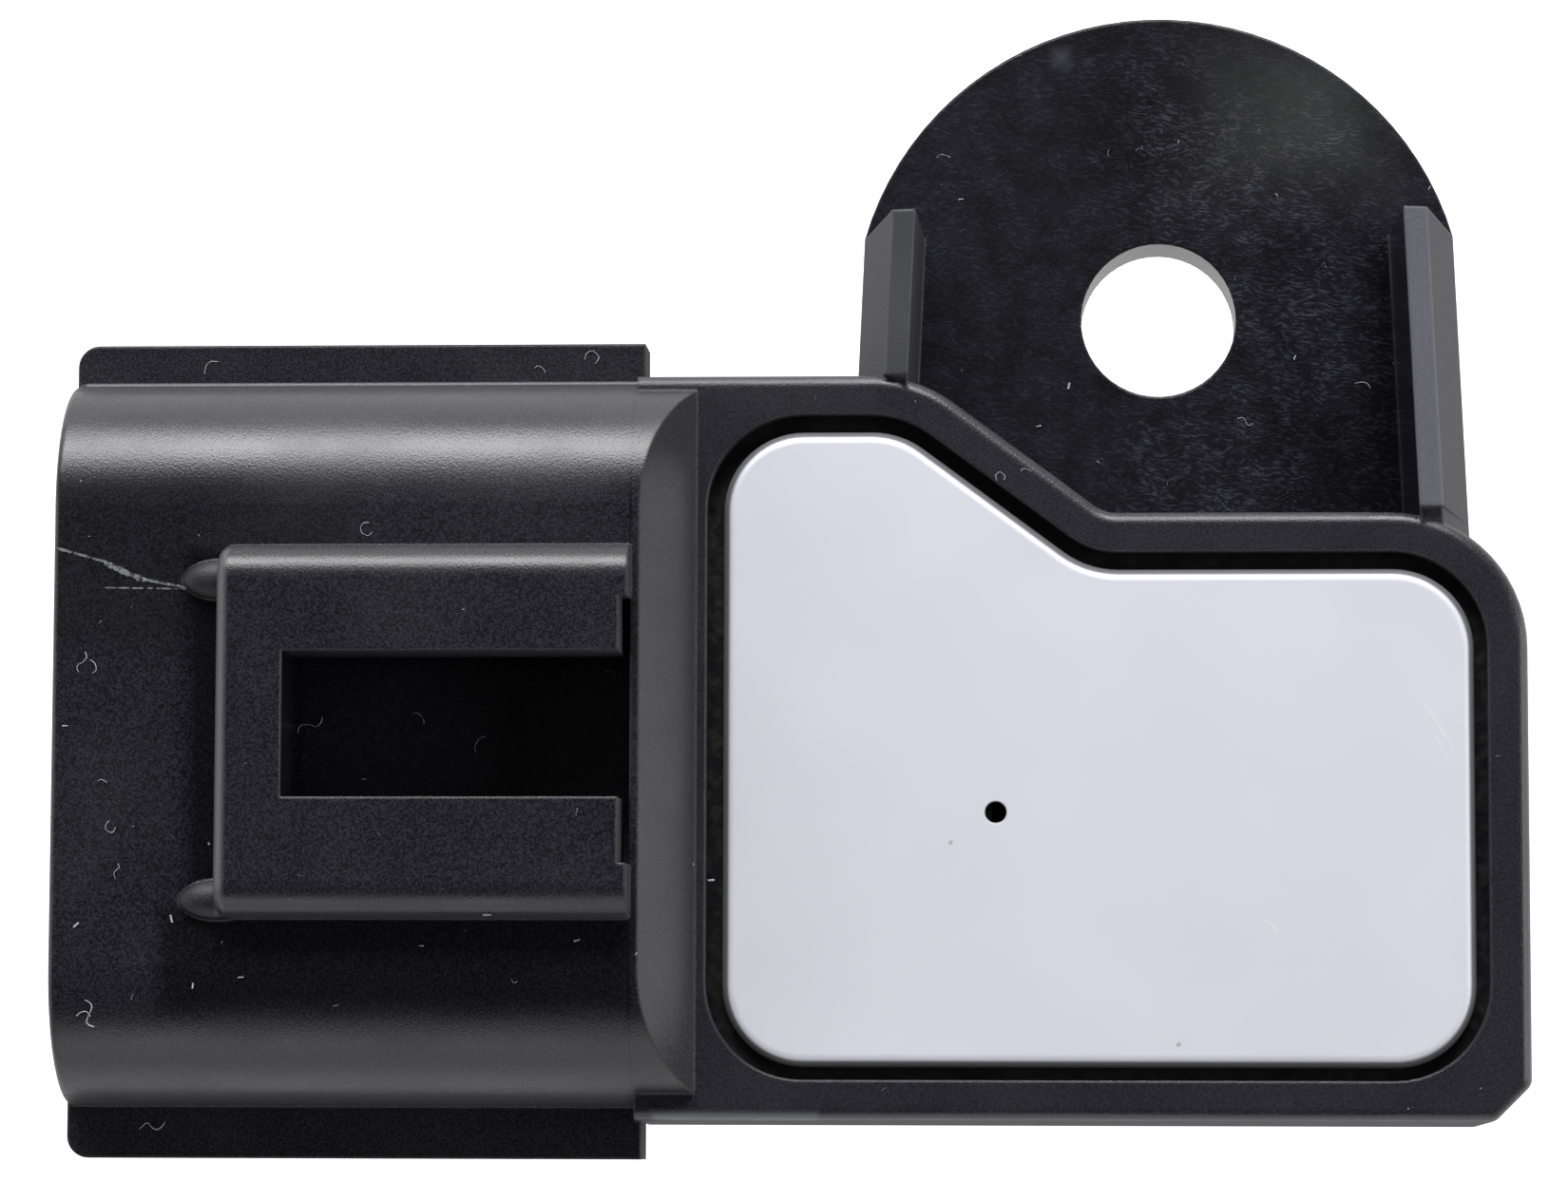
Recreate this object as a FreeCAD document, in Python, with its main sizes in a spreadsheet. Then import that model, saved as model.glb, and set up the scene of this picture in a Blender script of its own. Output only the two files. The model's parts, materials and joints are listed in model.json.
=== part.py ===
import FreeCAD, Part
import math
import os
import Sketcher
from FreeCAD import Placement, Rotation, Vector

os.makedirs("parts", exist_ok=True)
doc = FreeCAD.newDocument("manifold_pressure_sensor")
sheet = doc.addObject("Spreadsheet::Sheet", "Sizes")

# The origin is where the pressure port's axis crosses the seat plane. X points away from the
# connector, Y towards the fixing lug and Z out of the intake manifold. All lengths are in mm.
driving = {
    # Body outline, given at its rim
    "rimHeight": 11.0,
    "bodyRight": 14.73,
    "bodyAbove": 17.71,
    "bodyBelow": 12.58,
    "shelfAbove": 12.05,
    "slantStart": 9.97,
    "slantEnd": 2.34,
    "bodyCorner": 5.5,
    "slantCorner": 5.7,
    "hollowCorner": 1.5,
    "cutCorner": 1.5,
    "cutRounding": 0.6,
    "wallDraft": 1.0,
    "rimRounding": 0.5,
    # Lid, its sealant groove and the chamber below
    "outerWall": 1.62,
    "sealantGap": 0.6,
    "skirtThickness": 0.8,
    "innerGap": 0.3,
    "innerWall": 1.0,
    "rimLeft": 0.43,
    "lidThickness": 0.8,
    "lidDrop": 0.05,
    "lidShiftRight": 0.07,
    "lidShiftBelow": 0.09,
    "lidRounding": 0.5,
    "skirtDepth": 1.95,
    "grooveDepth": 3.2,
    "chamberDepth": 8.0,
    "ventDiameter": 0.87,
    "ventLeft": 6.75,
    "ventBelow": 0.15,
    # Fixing lug
    "lugDistance": 21.0,
    "lugRadius": 12.85,
    "lugThickness": 3.5,
    "screwHole": 6.5,
    "ribReach": 3.5,
    "ribWidth": 0.93,
    "leftRibInset": 2.35,
    "rightRibInset": 2.5,
    "ribSplay": 2.6,
    "ribDraft": 0.2,
    "ribRise": 0.3,
    "ribTilt": 0.2,
    "ribStep": 0.2,
    # Connector shroud
    "mouthDistance": 44.75,
    "seamDistance": 21.37,
    "slopeStart": 21.0,
    "stripFoot": 18.93,
    "shroudCentre": 2.78,
    "shroudWidth": 29.7,
    "shroudRise": 3.1,
    "shroudHeight": 12.5,
    "shroudCorner": 5.5,
    "shroudWall": 1.7,
    "socketCorner": 2.6,
    "socketDepth": 20.4,
    "mouthRounding": 0.25,
    "upperRailReach": 1.66,
    "lowerRailReach": 2.12,
    "railEnd": 21.2,
    "railRise": 4.9,
    "railThickness": 2.6,
    "railRounding": 0.9,
    # Latch housing on the shroud
    "latchLeft": 37.88,
    "latchRise": 1.8,
    "latchCentre": 2.91,
    "latchWidth": 14.98,
    "latchRounding": 1.4,
    "latchEdge": 0.5,
    "windowLeft": 35.18,
    "windowCentre": 3.11,
    "windowWidth": 5.84,
    "channelWidth": 10.7,
    "channelRoof": 1.5,
    "channelHeight": 2.2,
    "channelFloor": 1.2,
    "slotWidth": 0.33,
    "earLength": 1.6,
    "earWidth": 1.6,
    "earHeight": 0.7,
    "earCentre": 2.58,
    "earSpacing": 12.9,
    # Pressure port and its sealing ring
    "portDiameter": 11.85,
    "portLength": 15.0,
    "portBore": 4.5,
    "portLead": 0.8,
    "ringDistance": 5.5,
    "ringGroove": 3.4,
    "ringSeat": 7.6,
    "ringThickness": 2.65,
    # Hollow under the step between socket and chamber
    "coreWidth": 20.0,
    "coreRoof": 2.8,
    "coreWall": 1.8,
    # Terminals
    "pitch": 5.0,
    "bladeWidth": 1.5,
    "bladeThickness": 0.8,
    "bladeRecess": 6.25,
    "bladeClearance": 0.6,
    "tipChamfer": 0.25,
    "tailInset": 2.2,
    "tailWidth": 0.8,
    "tailBelow": 0.9,
    "tailShoulder": 0.1,
    "bendInside": 0.4,
    # Circuit board and what holds it
    "boardGap": 0.4,
    "boardThickness": 1.0,
    "boardHole": 1.4,
    "glueThickness": 0.2,
    "supportHeight": 1.6,
    "bossDiameter": 10.0,
    "glueInside": 5.4,
    "postDiameter": 3.0,
    "postInset": 3.0,
    "postShift": 2.0,
    "solderRadius": 1.15,
    "solderHeight": 0.45,
    # Pressure cell
    "boardVent": 1.6,
    "pedestalSide": 3.2,
    "pedestalHeight": 1.0,
    "pedestalBore": 0.8,
    "chipSide": 2.4,
    "chipHeight": 0.4,
    "gelWallOuter": 9.0,
    "gelWallThickness": 0.8,
    "gelWallHeight": 2.4,
    "gelHeight": 2.1,
    "wireThickness": 0.12,
    "wireSpacing": 0.6,
    "wireInset": 0.25,
    "wirePad": 2.9,
    "wireRise": 0.25,
    # Parts soldered on the board
    "amplifierLeft": 7.8,
    "amplifierBelow": 2.2,
    "amplifierLength": 4.9,
    "amplifierWidth": 3.9,
    "amplifierHeight": 1.5,
    "leadSpan": 6.0,
    "leadWidth": 0.4,
    "leadThickness": 0.2,
    "leadPitch": 1.27,
    "standOff": 0.15,
    "capacitorRight": 3.6,
    "capacitorAbove": 3.4,
    "capacitorPitch": 2.5,
    "capacitorLength": 2.0,
    "capacitorWidth": 1.25,
    "capacitorHeight": 1.0,
    "resistorRight": 7.2,
    "resistorAbove": 1.2,
    "resistorPitch": 2.0,
    "resistorLength": 1.6,
    "resistorWidth": 0.8,
    "resistorHeight": 0.45,
    "chipRounding": 0.12,
}


class Measure:
    """A length with the sheet formula that gives it, so that both always agree."""

    def __init__(self, value, formula):
        self.value = value
        self.formula = formula

    def __add__(self, other):
        other = measure(other)
        return Measure(self.value + other.value, f"({self.formula} + {other.formula})")

    def __sub__(self, other):
        other = measure(other)
        return Measure(self.value - other.value, f"({self.formula} - {other.formula})")

    def __mul__(self, other):
        other = measure(other)
        return Measure(self.value * other.value, f"({self.formula} * {other.formula})")

    def __truediv__(self, other):
        other = measure(other)
        return Measure(self.value / other.value, f"({self.formula} / {other.formula})")

    def __neg__(self):
        return Measure(-self.value, f"(0 - {self.formula})")

    __radd__ = __add__
    __rmul__ = __mul__


def measure(thing):
    if isinstance(thing, Measure):
        return thing
    return Measure(float(thing), f"({float(thing)})")


def root(thing):
    return Measure(math.sqrt(thing.value), f"sqrt({thing.formula})")


def slope(degrees):
    return Measure(math.tan(math.radians(degrees.value)), f"tan({degrees.formula} * 1 deg)")


def half_slope(rise):
    """Tangent of half the angle whose tangent is given."""
    return Measure(math.tan(math.atan(rise.value) / 2), f"tan(atan({rise.formula}) / 2)")


class Sizes:
    pass


size = Sizes()
for row, (name, value) in enumerate(driving.items(), start=1):
    sheet.set(f"A{row}", name)
    sheet.set(f"B{row}", str(value))
    sheet.setAlias(f"B{row}", name)
    setattr(size, name, Measure(value, f"Sizes.{name}"))
doc.recompute()


def bind(thing, prop, amount):
    amount = measure(amount)
    thing.setExpression(prop, amount.formula)


def place(thing, x, y, z):
    for axis, amount in zip("xyz", (x, y, z)):
        bind(thing, f"Placement.Base.{axis}", amount)


def solid_body(name):
    body = doc.addObject("PartDesign::Body", name)
    body.Label = name
    return body


def sketch_on(body, role, distance, name):
    """A sketch parallel to one of the body's origin planes, a distance along its normal."""
    sketch = body.newObject("Sketcher::SketchObject", name)
    plane = next(item for item in body.Origin.OriginFeatures if item.Role == role)
    sketch.AttachmentSupport = [(plane, "")]
    sketch.MapMode = "FlatFace"
    bind(sketch, "AttachmentOffset.Base.z", distance)
    return sketch


def dimension(sketch, kind, amount, *where):
    number = sketch.addConstraint(Sketcher.Constraint(kind, *where, amount.value))
    sketch.setExpression(f"Constraints[{number}]", amount.formula)


def pin_point(sketch, part, point, x, y):
    dimension(sketch, "DistanceX", measure(x), -1, 1, part, point)
    dimension(sketch, "DistanceY", measure(y), -1, 1, part, point)


def outline(sketch, corners):
    """Close a loop of straight legs round corners (x, y, radius), taken anticlockwise.

    A corner is the centre of its arc. A negative radius turns right, and a zero radius is sharp.
    """
    corners = [tuple(measure(item) for item in corner) for corner in corners]
    legs = []
    for (ax, ay, ar), (bx, by, br) in zip(corners, corners[1:] + corners[:1]):
        dx, dy = bx.value - ax.value, by.value - ay.value
        side = math.atan2(dy, dx) + math.acos((br.value - ar.value) / math.hypot(dx, dy))
        away = Vector(math.cos(side), math.sin(side), 0)
        start = Vector(ax.value, ay.value, 0) - away * ar.value
        finish = Vector(bx.value, by.value, 0) - away * br.value
        legs.append((start, finish))
    lines = [sketch.addGeometry(Part.LineSegment(*leg)) for leg in legs]
    for number, (x, y, radius) in enumerate(corners):
        before, after = lines[number - 1], lines[number]
        if radius.value == 0:
            sketch.addConstraint(Sketcher.Constraint("Coincident", before, 2, after, 1))
            pin_point(sketch, after, 1, x, y)
            continue
        centre = Vector(x.value, y.value, 0)
        entry, leave = legs[number - 1][1] - centre, legs[number][0] - centre
        first, last, ends = entry, leave, (1, 2)
        if radius.value < 0:
            first, last, ends = leave, entry, (2, 1)
        circle = Part.Circle(centre, Vector(0, 0, 1), abs(radius.value))
        angles = math.atan2(first.y, first.x), math.atan2(last.y, last.x)
        arc = sketch.addGeometry(Part.ArcOfCircle(circle, *angles))
        sketch.addConstraint(Sketcher.Constraint("Tangent", before, 2, arc, ends[0]))
        sketch.addConstraint(Sketcher.Constraint("Tangent", arc, ends[1], after, 1))
        pin_point(sketch, arc, 3, x, y)
        dimension(sketch, "Radius", radius if radius.value > 0 else -radius, arc)


def rectangle(sketch, left, right, low, high, radius=0):
    """A rectangle, with its corners rounded where a radius is given."""
    left, right, low, high = (measure(item) for item in (left, right, low, high))
    outline(sketch, [
        (left + radius, low + radius, radius),
        (right - radius, low + radius, radius),
        (right - radius, high - radius, radius),
        (left + radius, high - radius, radius),
    ])


def circle(sketch, x, y, radius):
    x, y = measure(x), measure(y)
    ring = sketch.addGeometry(Part.Circle(Vector(x.value, y.value, 0), Vector(0, 0, 1), radius.value))
    pin_point(sketch, ring, 3, x, y)
    dimension(sketch, "Radius", radius, ring)


def grow(body, kind, sketch, name, length, reversed_side=False, both_ways=False):
    """Pad or pocket a sketch, and make sure that it changed the solid."""
    before = body.Shape.Volume if body.Tip else 0
    feature = body.newObject(f"PartDesign::{kind}", name)
    feature.Profile = sketch
    bind(feature, "Length", length)
    feature.Reversed = reversed_side
    feature.Midplane = both_ways
    doc.recompute()
    if abs(body.Shape.Volume - before) < 1e-4:
        raise RuntimeError(f"{name} changes nothing")
    return feature


def edges_where(feature, test):
    names = [f"Edge{n}" for n, edge in enumerate(feature.Shape.Edges, start=1) if test(edge)]
    if not names:
        raise RuntimeError(f"no edge of {feature.Name} fits")
    return names


def finish_edges(body, kind, feature, test, amount, name):
    """Round or chamfer the edges of a feature that pass a test."""
    finish = body.newObject(f"PartDesign::{kind}", name)
    finish.Base = (feature, edges_where(feature, test))
    bind(finish, "Radius" if kind == "Fillet" else "Size", amount)
    doc.recompute()
    return finish


def near(a, b, tolerance=0.01):
    return abs(a - measure(b).value) < tolerance


def ends(edge):
    return [vertex.Point for vertex in edge.Vertexes]


def runs_along(edge, axis):
    """Whether an edge runs along an axis, draft apart."""
    points = ends(edge)
    if len(points) < 2:
        return False
    direction = (points[1] - points[0]).normalize()
    return abs(getattr(direction, axis)) > 0.99


# Outline shared by the body, the groove, the lid, the chamber and the board
slant_rise = (size.bodyAbove - size.shelfAbove) / (size.slantStart - size.slantEnd)
slant_shift = half_slope(slant_rise)
frame_left = -(size.stripFoot - size.rimLeft + size.outerWall)


def upper_corners(inset):
    """The body's right and slanted corners, moved inwards in parallel."""
    return [
        (size.bodyRight - size.bodyCorner, size.shelfAbove - size.bodyCorner, size.bodyCorner - inset),
        (-size.slantEnd + size.hollowCorner * slant_shift, size.shelfAbove + size.hollowCorner,
         -(size.hollowCorner + inset)),
        (-size.slantStart - size.slantCorner * slant_shift, size.bodyAbove - size.slantCorner,
         size.slantCorner - inset),
    ]


def inner_outline(sketch, inset):
    corner = size.bodyCorner
    outline(sketch, [
        (frame_left + corner, -size.bodyBelow + corner, corner - inset),
        (size.bodyRight - corner, -size.bodyBelow + corner, corner - inset),
        *upper_corners(inset),
        (frame_left + corner, size.bodyAbove - corner, corner - inset),
    ])


groove_inset = size.outerWall
lid_inset = groove_inset + size.sealantGap
skirt_inset = lid_inset + size.skirtThickness
seat_inset = skirt_inset + size.innerGap
chamber_inset = seat_inset + size.innerWall
board_inset = chamber_inset + size.boardGap

lid_top = size.rimHeight - size.lidDrop
lid_under = lid_top - size.lidThickness
groove_floor = size.rimHeight - size.grooveDepth
chamber_floor = size.rimHeight - size.chamberDepth
board_under = chamber_floor + size.supportHeight + size.glueThickness
board_top = board_under + size.boardThickness

shroud_left = size.shroudCentre - size.shroudWidth / 2
shroud_right = size.shroudCentre + size.shroudWidth / 2
shroud_top = size.rimHeight + size.shroudRise
shroud_bottom = shroud_top - size.shroudHeight
latch_top = shroud_top + size.latchRise
channel_top = shroud_top - size.channelRoof
channel_bottom = channel_top - size.channelHeight
socket_roof = channel_bottom - size.channelFloor
socket_floor = shroud_bottom + size.shroudWall
socket_end = -size.mouthDistance + size.socketDepth
blade_top = groove_floor - size.bladeClearance
blade_under = blade_top - size.bladeThickness
tail_place = frame_left + board_inset + size.tailInset


def make_housing():
    """Shroud, body, lug and port, moulded together round the terminals."""
    body = solid_body("moulding")

    # Body block, drawn at the rim and widening downwards
    sketch = sketch_on(body, "XY_Plane", size.rimHeight, "body_outline")
    outline(sketch, [
        (-size.seamDistance, -size.bodyBelow, 0),
        (size.bodyRight - size.cutCorner, -size.bodyBelow, 0),
        (size.bodyRight, -size.bodyBelow + size.cutCorner, 0),
        *upper_corners(measure(0)),
        (-size.seamDistance, size.bodyAbove, 0),
    ])
    block = grow(body, "Pad", sketch, "body_block", size.rimHeight, reversed_side=True)
    bind(block, "TaperAngle", size.wallDraft)
    doc.recompute()

    def cut_corner_edge(edge):
        middle = edge.CenterOfMass
        return runs_along(edge, "z") and middle.x > 0 and middle.y < -size.bodyBelow.value / 2

    block = finish_edges(body, "Fillet", block, cut_corner_edge, size.cutRounding, "cut_corner_edges")

    def rim_edge(edge):
        on_rim = all(near(point.z, size.rimHeight) for point in ends(edge))
        return on_rim and not near(edge.CenterOfMass.x, -size.seamDistance)

    finish_edges(body, "Fillet", block, rim_edge, size.rimRounding, "rim_edges")

    make_lug(body)
    make_shroud(body)
    make_latch(body)
    make_chamber(body)
    make_port(body)
    return body


def make_lug(body):
    """Flat plate round the screw hole, with a rib along each side."""
    end = size.lugDistance + size.ribReach
    side = root(size.lugRadius * size.lugRadius - size.ribReach * size.ribReach)
    splay = slope(size.ribSplay)
    foot = size.shelfAbove - size.outerWall

    def lug_side(y):
        return side + (end - y) * splay

    sketch = sketch_on(body, "XY_Plane", 0, "lug_outline")
    plain = [(-lug_side(foot), foot), (lug_side(foot), foot), (side, end)]
    points = [Vector(x.value, y.value, 0) for x, y in plain] + [Vector(-side.value, end.value, 0)]
    lines = [sketch.addGeometry(Part.LineSegment(points[a], points[b])) for a, b in ((3, 0), (0, 1), (1, 2))]
    whole = Part.Circle(Vector(0, size.lugDistance.value, 0), Vector(0, 0, 1), size.lugRadius.value)
    turn = math.atan2(size.ribReach.value, side.value)
    arc = sketch.addGeometry(Part.ArcOfCircle(whole, turn, math.pi - turn))
    for first, second in ((lines[0], lines[1]), (lines[1], lines[2])):
        sketch.addConstraint(Sketcher.Constraint("Coincident", first, 2, second, 1))
    sketch.addConstraint(Sketcher.Constraint("Coincident", lines[2], 2, arc, 1))
    sketch.addConstraint(Sketcher.Constraint("Coincident", arc, 2, lines[0], 1))
    pin_point(sketch, lines[1], 1, *plain[0])
    pin_point(sketch, lines[1], 2, *plain[1])
    pin_point(sketch, arc, 3, 0, size.lugDistance)
    dimension(sketch, "Radius", size.lugRadius, arc)
    dimension(sketch, "DistanceY", end, -1, 1, arc, 1)
    dimension(sketch, "DistanceY", end, -1, 1, arc, 2)
    grow(body, "Pad", sketch, "lug_plate", size.lugThickness)

    def rib_section(hand, y, inset, crest, name):
        """Rib across the lug: its inner edge stands highest and its outer wall leans out."""
        inner = lug_side(y) - inset
        outer = inner + size.ribWidth
        wall = lug_side(y)
        base = size.lugThickness / 2
        corners = [
            (inner - size.ribDraft, base),
            (wall, base),
            (wall, size.lugThickness),
            (outer, crest - size.ribTilt),
            (inner, crest),
        ]
        if hand < 0:
            corners = [(-x, z) for x, z in reversed(corners)]
        section = sketch_on(body, "XZ_Plane", -y, name)
        outline(section, [(x, z, 0) for x, z in corners])
        return section

    def rib(hand, start, stop, inset, crest, name):
        loft = body.newObject("PartDesign::AdditiveLoft", name)
        loft.Profile = rib_section(hand, start, inset, crest, f"{name}_start")
        loft.Sections = [rib_section(hand, stop, inset, crest, f"{name}_end")]
        loft.Ruled = True
        doc.recompute()

    right = (1, size.shelfAbove, size.shelfAbove + size.ribStep, size.rightRibInset, "right_rib")
    left = (-1, size.bodyAbove, size.bodyAbove, size.leftRibInset, "left_rib")
    for hand, edge, raised, inset, name in (right, left):
        rib(hand, end, raised, inset, size.rimHeight + size.ribRise, name)
        rib(hand, raised, edge - size.outerWall / 2, inset, size.rimHeight, f"{name}_foot")

    sketch = sketch_on(body, "XY_Plane", size.lugThickness, "screw_hole_circle")
    circle(sketch, 0, size.lugDistance, size.screwHole / 2)
    grow(body, "Pocket", sketch, "screw_hole", size.lugThickness)


def make_shroud(body):
    """Connector shroud with a rail on each side, sloping down to the body's rim."""
    sketch = sketch_on(body, "YZ_Plane", -size.mouthDistance, "shroud_outline")
    rectangle(sketch, shroud_left, shroud_right, shroud_bottom, shroud_top, size.shroudCorner)
    shroud = grow(body, "Pad", sketch, "shroud", size.mouthDistance - size.stripFoot)
    finish_edges(body, "Fillet", shroud, lambda edge: all(near(p.x, -size.mouthDistance) for p in ends(edge)),
                 size.mouthRounding, "mouth_edge")

    sketch = sketch_on(body, "XZ_Plane", -size.shroudCentre, "strip_profile")
    above = shroud_top + size.shroudWall
    outline(sketch, [
        (-size.stripFoot, size.rimHeight, 0),
        (-size.stripFoot + size.shroudWall, size.rimHeight, 0),
        (-size.stripFoot + size.shroudWall, above, 0),
        (-size.slopeStart, above, 0),
        (-size.slopeStart, shroud_top, 0),
    ])
    grow(body, "Pocket", sketch, "strip", size.shroudWidth * 2, both_ways=True)

    inside = size.shroudWidth / 2 - size.shroudWall / 2
    corner = size.railRounding
    rails = ((1, size.upperRailReach, "upper_rail"), (-1, size.lowerRailReach, "lower_rail"))
    for hand, rail_reach, name in rails:
        reach = size.shroudWidth / 2 + rail_reach
        sketch = sketch_on(body, "XY_Plane", shroud_bottom + size.railRise, f"{name}_outline")
        corners = [
            (-size.railEnd, size.shroudCentre + inside * hand, 0),
            (-size.railEnd, size.shroudCentre + reach * hand, 0),
            (-size.mouthDistance + corner, size.shroudCentre + (reach - corner) * hand, corner),
            (-size.mouthDistance, size.shroudCentre + inside * hand, 0),
        ]
        outline(sketch, corners if hand > 0 else corners[::-1])
        grow(body, "Pad", sketch, name, size.railThickness)

    sketch = sketch_on(body, "YZ_Plane", -size.mouthDistance, "socket_outline")
    wall = size.shroudWall
    rectangle(sketch, shroud_left + wall, shroud_right - wall, socket_floor, socket_roof,
              size.socketCorner)
    grow(body, "Pocket", sketch, "socket", size.socketDepth, reversed_side=True)

    sketch = sketch_on(body, "XY_Plane", 0, "core_outline")
    half = size.coreWidth / 2
    rectangle(sketch, socket_end + size.coreWall, frame_left + chamber_inset - size.coreWall,
              size.shroudCentre - half, size.shroudCentre + half, size.rimRounding)
    grow(body, "Pocket", sketch, "core", blade_under - size.coreRoof, reversed_side=True)


def make_latch(body):
    """Raised latch housing with its window, the latch channel below and two small ears."""
    half = size.latchWidth / 2
    sketch = sketch_on(body, "YZ_Plane", -size.latchLeft, "latch_outline")
    low = shroud_top - size.channelRoof / 2
    turn = size.latchRounding
    outline(sketch, [
        (size.latchCentre - half, low, 0),
        (size.latchCentre + half, low, 0),
        (size.latchCentre + half - turn, latch_top - turn, turn),
        (size.latchCentre - half + turn, latch_top - turn, turn),
    ])
    hump = grow(body, "Pad", sketch, "latch_housing", size.latchLeft - size.seamDistance)

    def front_top(edge):
        on_front = all(near(point.x, -size.latchLeft) and point.z > shroud_top.value - 0.01
                       for point in ends(edge))
        return on_front and edge.CenterOfMass.z > latch_top.value - size.latchRounding.value

    finish_edges(body, "Fillet", hump, front_top, size.latchEdge, "latch_front_edge")

    for hand, name in ((1, "upper_ear"), (-1, "lower_ear")):
        ear = body.newObject("PartDesign::AdditiveEllipsoid", name)
        bind(ear, "Radius1", size.earHeight)
        bind(ear, "Radius2", size.earLength)
        bind(ear, "Radius3", size.earWidth / 2)
        place(ear, -size.latchLeft, size.earCentre + size.earSpacing / 2 * hand, shroud_top)
        doc.recompute()

    def opening(name, left, right, centre, width, low, high):
        sketch = sketch_on(body, "XY_Plane", high, f"{name}_outline")
        rectangle(sketch, left, right, centre - width / 2, centre + width / 2)
        grow(body, "Pocket", sketch, name, high - low)

    seam = -size.seamDistance
    opening("channel", -size.mouthDistance, seam, size.latchCentre, size.channelWidth,
            channel_bottom, channel_top)
    opening("window", -size.windowLeft, seam, size.windowCentre, size.windowWidth, channel_top, latch_top)
    opening("slot", seam - size.slotWidth, seam, size.latchCentre, size.channelWidth, channel_top, latch_top)


def make_chamber(body):
    """Recess for the lid, groove for its skirt, and the chamber with its boss and posts."""
    sketch = sketch_on(body, "XY_Plane", size.rimHeight, "recess_outline")
    inner_outline(sketch, groove_inset)
    grow(body, "Pocket", sketch, "lid_recess", size.rimHeight - lid_under)

    sketch = sketch_on(body, "XY_Plane", lid_under, "groove_outline")
    inner_outline(sketch, groove_inset)
    inner_outline(sketch, seat_inset)
    grow(body, "Pocket", sketch, "lid_groove", lid_under - groove_floor)

    sketch = sketch_on(body, "XY_Plane", lid_under, "chamber_outline")
    inner_outline(sketch, chamber_inset)
    grow(body, "Pocket", sketch, "chamber", lid_under - chamber_floor)

    sketch = sketch_on(body, "XY_Plane", chamber_floor, "support_circles")
    circle(sketch, 0, 0, size.bossDiameter / 2)
    for x, y in post_places():
        circle(sketch, x, y, size.postDiameter / 2)
    grow(body, "Pad", sketch, "board_supports", size.supportHeight)


def post_places():
    """Posts under the board's far corners."""
    inside = size.postInset
    left = frame_left + board_inset + inside + size.postShift
    right = size.bodyRight - board_inset - inside
    low = -size.bodyBelow + board_inset + inside
    high = size.bodyAbove - board_inset - inside
    return [(left, low), (right, low), (left, high)]


def make_port(body):
    """Round pressure port under the body, with the groove for its sealing ring."""
    sketch = sketch_on(body, "XY_Plane", 0, "port_circle")
    circle(sketch, 0, 0, size.portDiameter / 2)
    port = grow(body, "Pad", sketch, "port", size.portLength, reversed_side=True)

    def tip_edge(edge):
        return near(edge.CenterOfMass.z, -size.portLength) and near(edge.BoundBox.XMax, size.portDiameter / 2)

    finish_edges(body, "Chamfer", port, tip_edge, size.portLead, "port_lead")

    sketch = sketch_on(body, "XZ_Plane", 0, "ring_groove_profile")
    rectangle(sketch, size.ringSeat / 2, size.portDiameter, -size.ringDistance - size.ringGroove,
              -size.ringDistance)
    before = body.Shape.Volume
    groove = body.newObject("PartDesign::Groove", "ring_groove")
    groove.Profile = sketch
    groove.ReferenceAxis = (sketch, ["V_Axis"])
    groove.Angle = 360
    doc.recompute()
    if body.Shape.Volume > before - 1:
        raise RuntimeError("the ring groove cuts nothing")

    sketch = sketch_on(body, "XY_Plane", -size.portLength, "port_bore_circle")
    circle(sketch, 0, 0, size.portBore / 2)
    grow(body, "Pocket", sketch, "port_bore",
         size.portLength + chamber_floor + size.supportHeight, reversed_side=True)


def make_lid():
    """Pressed cover with a skirt that stands in the sealant groove."""
    body = solid_body("lid")
    sketch = sketch_on(body, "XY_Plane", lid_under, "lid_outline")
    inner_outline(sketch, lid_inset)
    plate = grow(body, "Pad", sketch, "lid_plate", size.lidThickness)
    finish_edges(body, "Fillet", plate, lambda edge: all(near(p.z, lid_top) for p in ends(edge)),
                 size.lidRounding, "lid_edge")
    sketch = sketch_on(body, "XY_Plane", lid_under, "skirt_outline")
    inner_outline(sketch, lid_inset)
    inner_outline(sketch, skirt_inset)
    grow(body, "Pad", sketch, "lid_skirt", size.skirtDepth, reversed_side=True)
    sketch = sketch_on(body, "XY_Plane", lid_top, "vent_circle")
    circle(sketch, -size.ventLeft - size.lidShiftRight, size.lidShiftBelow - size.ventBelow,
           size.ventDiameter / 2)
    grow(body, "Pocket", sketch, "vent", size.lidThickness)
    place(body, size.lidShiftRight, -size.lidShiftBelow, 0)
    return body


def make_sealant(lid):
    """Sealant that fills the groove round the lid's skirt."""
    body = solid_body("groove_filling")
    sketch = sketch_on(body, "XY_Plane", groove_floor, "filling_outline")
    inner_outline(sketch, groove_inset)
    inner_outline(sketch, seat_inset)
    grow(body, "Pad", sketch, "filling", lid_under - groove_floor)
    sealant = doc.addObject("Part::Cut", "lid_sealant")
    sealant.Base = body
    sealant.Tool = lid
    return sealant


def terminal_side(number):
    """Side position of a terminal, counted from the lower rail."""
    return size.shroudCentre + size.pitch * (number - 2)


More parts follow.
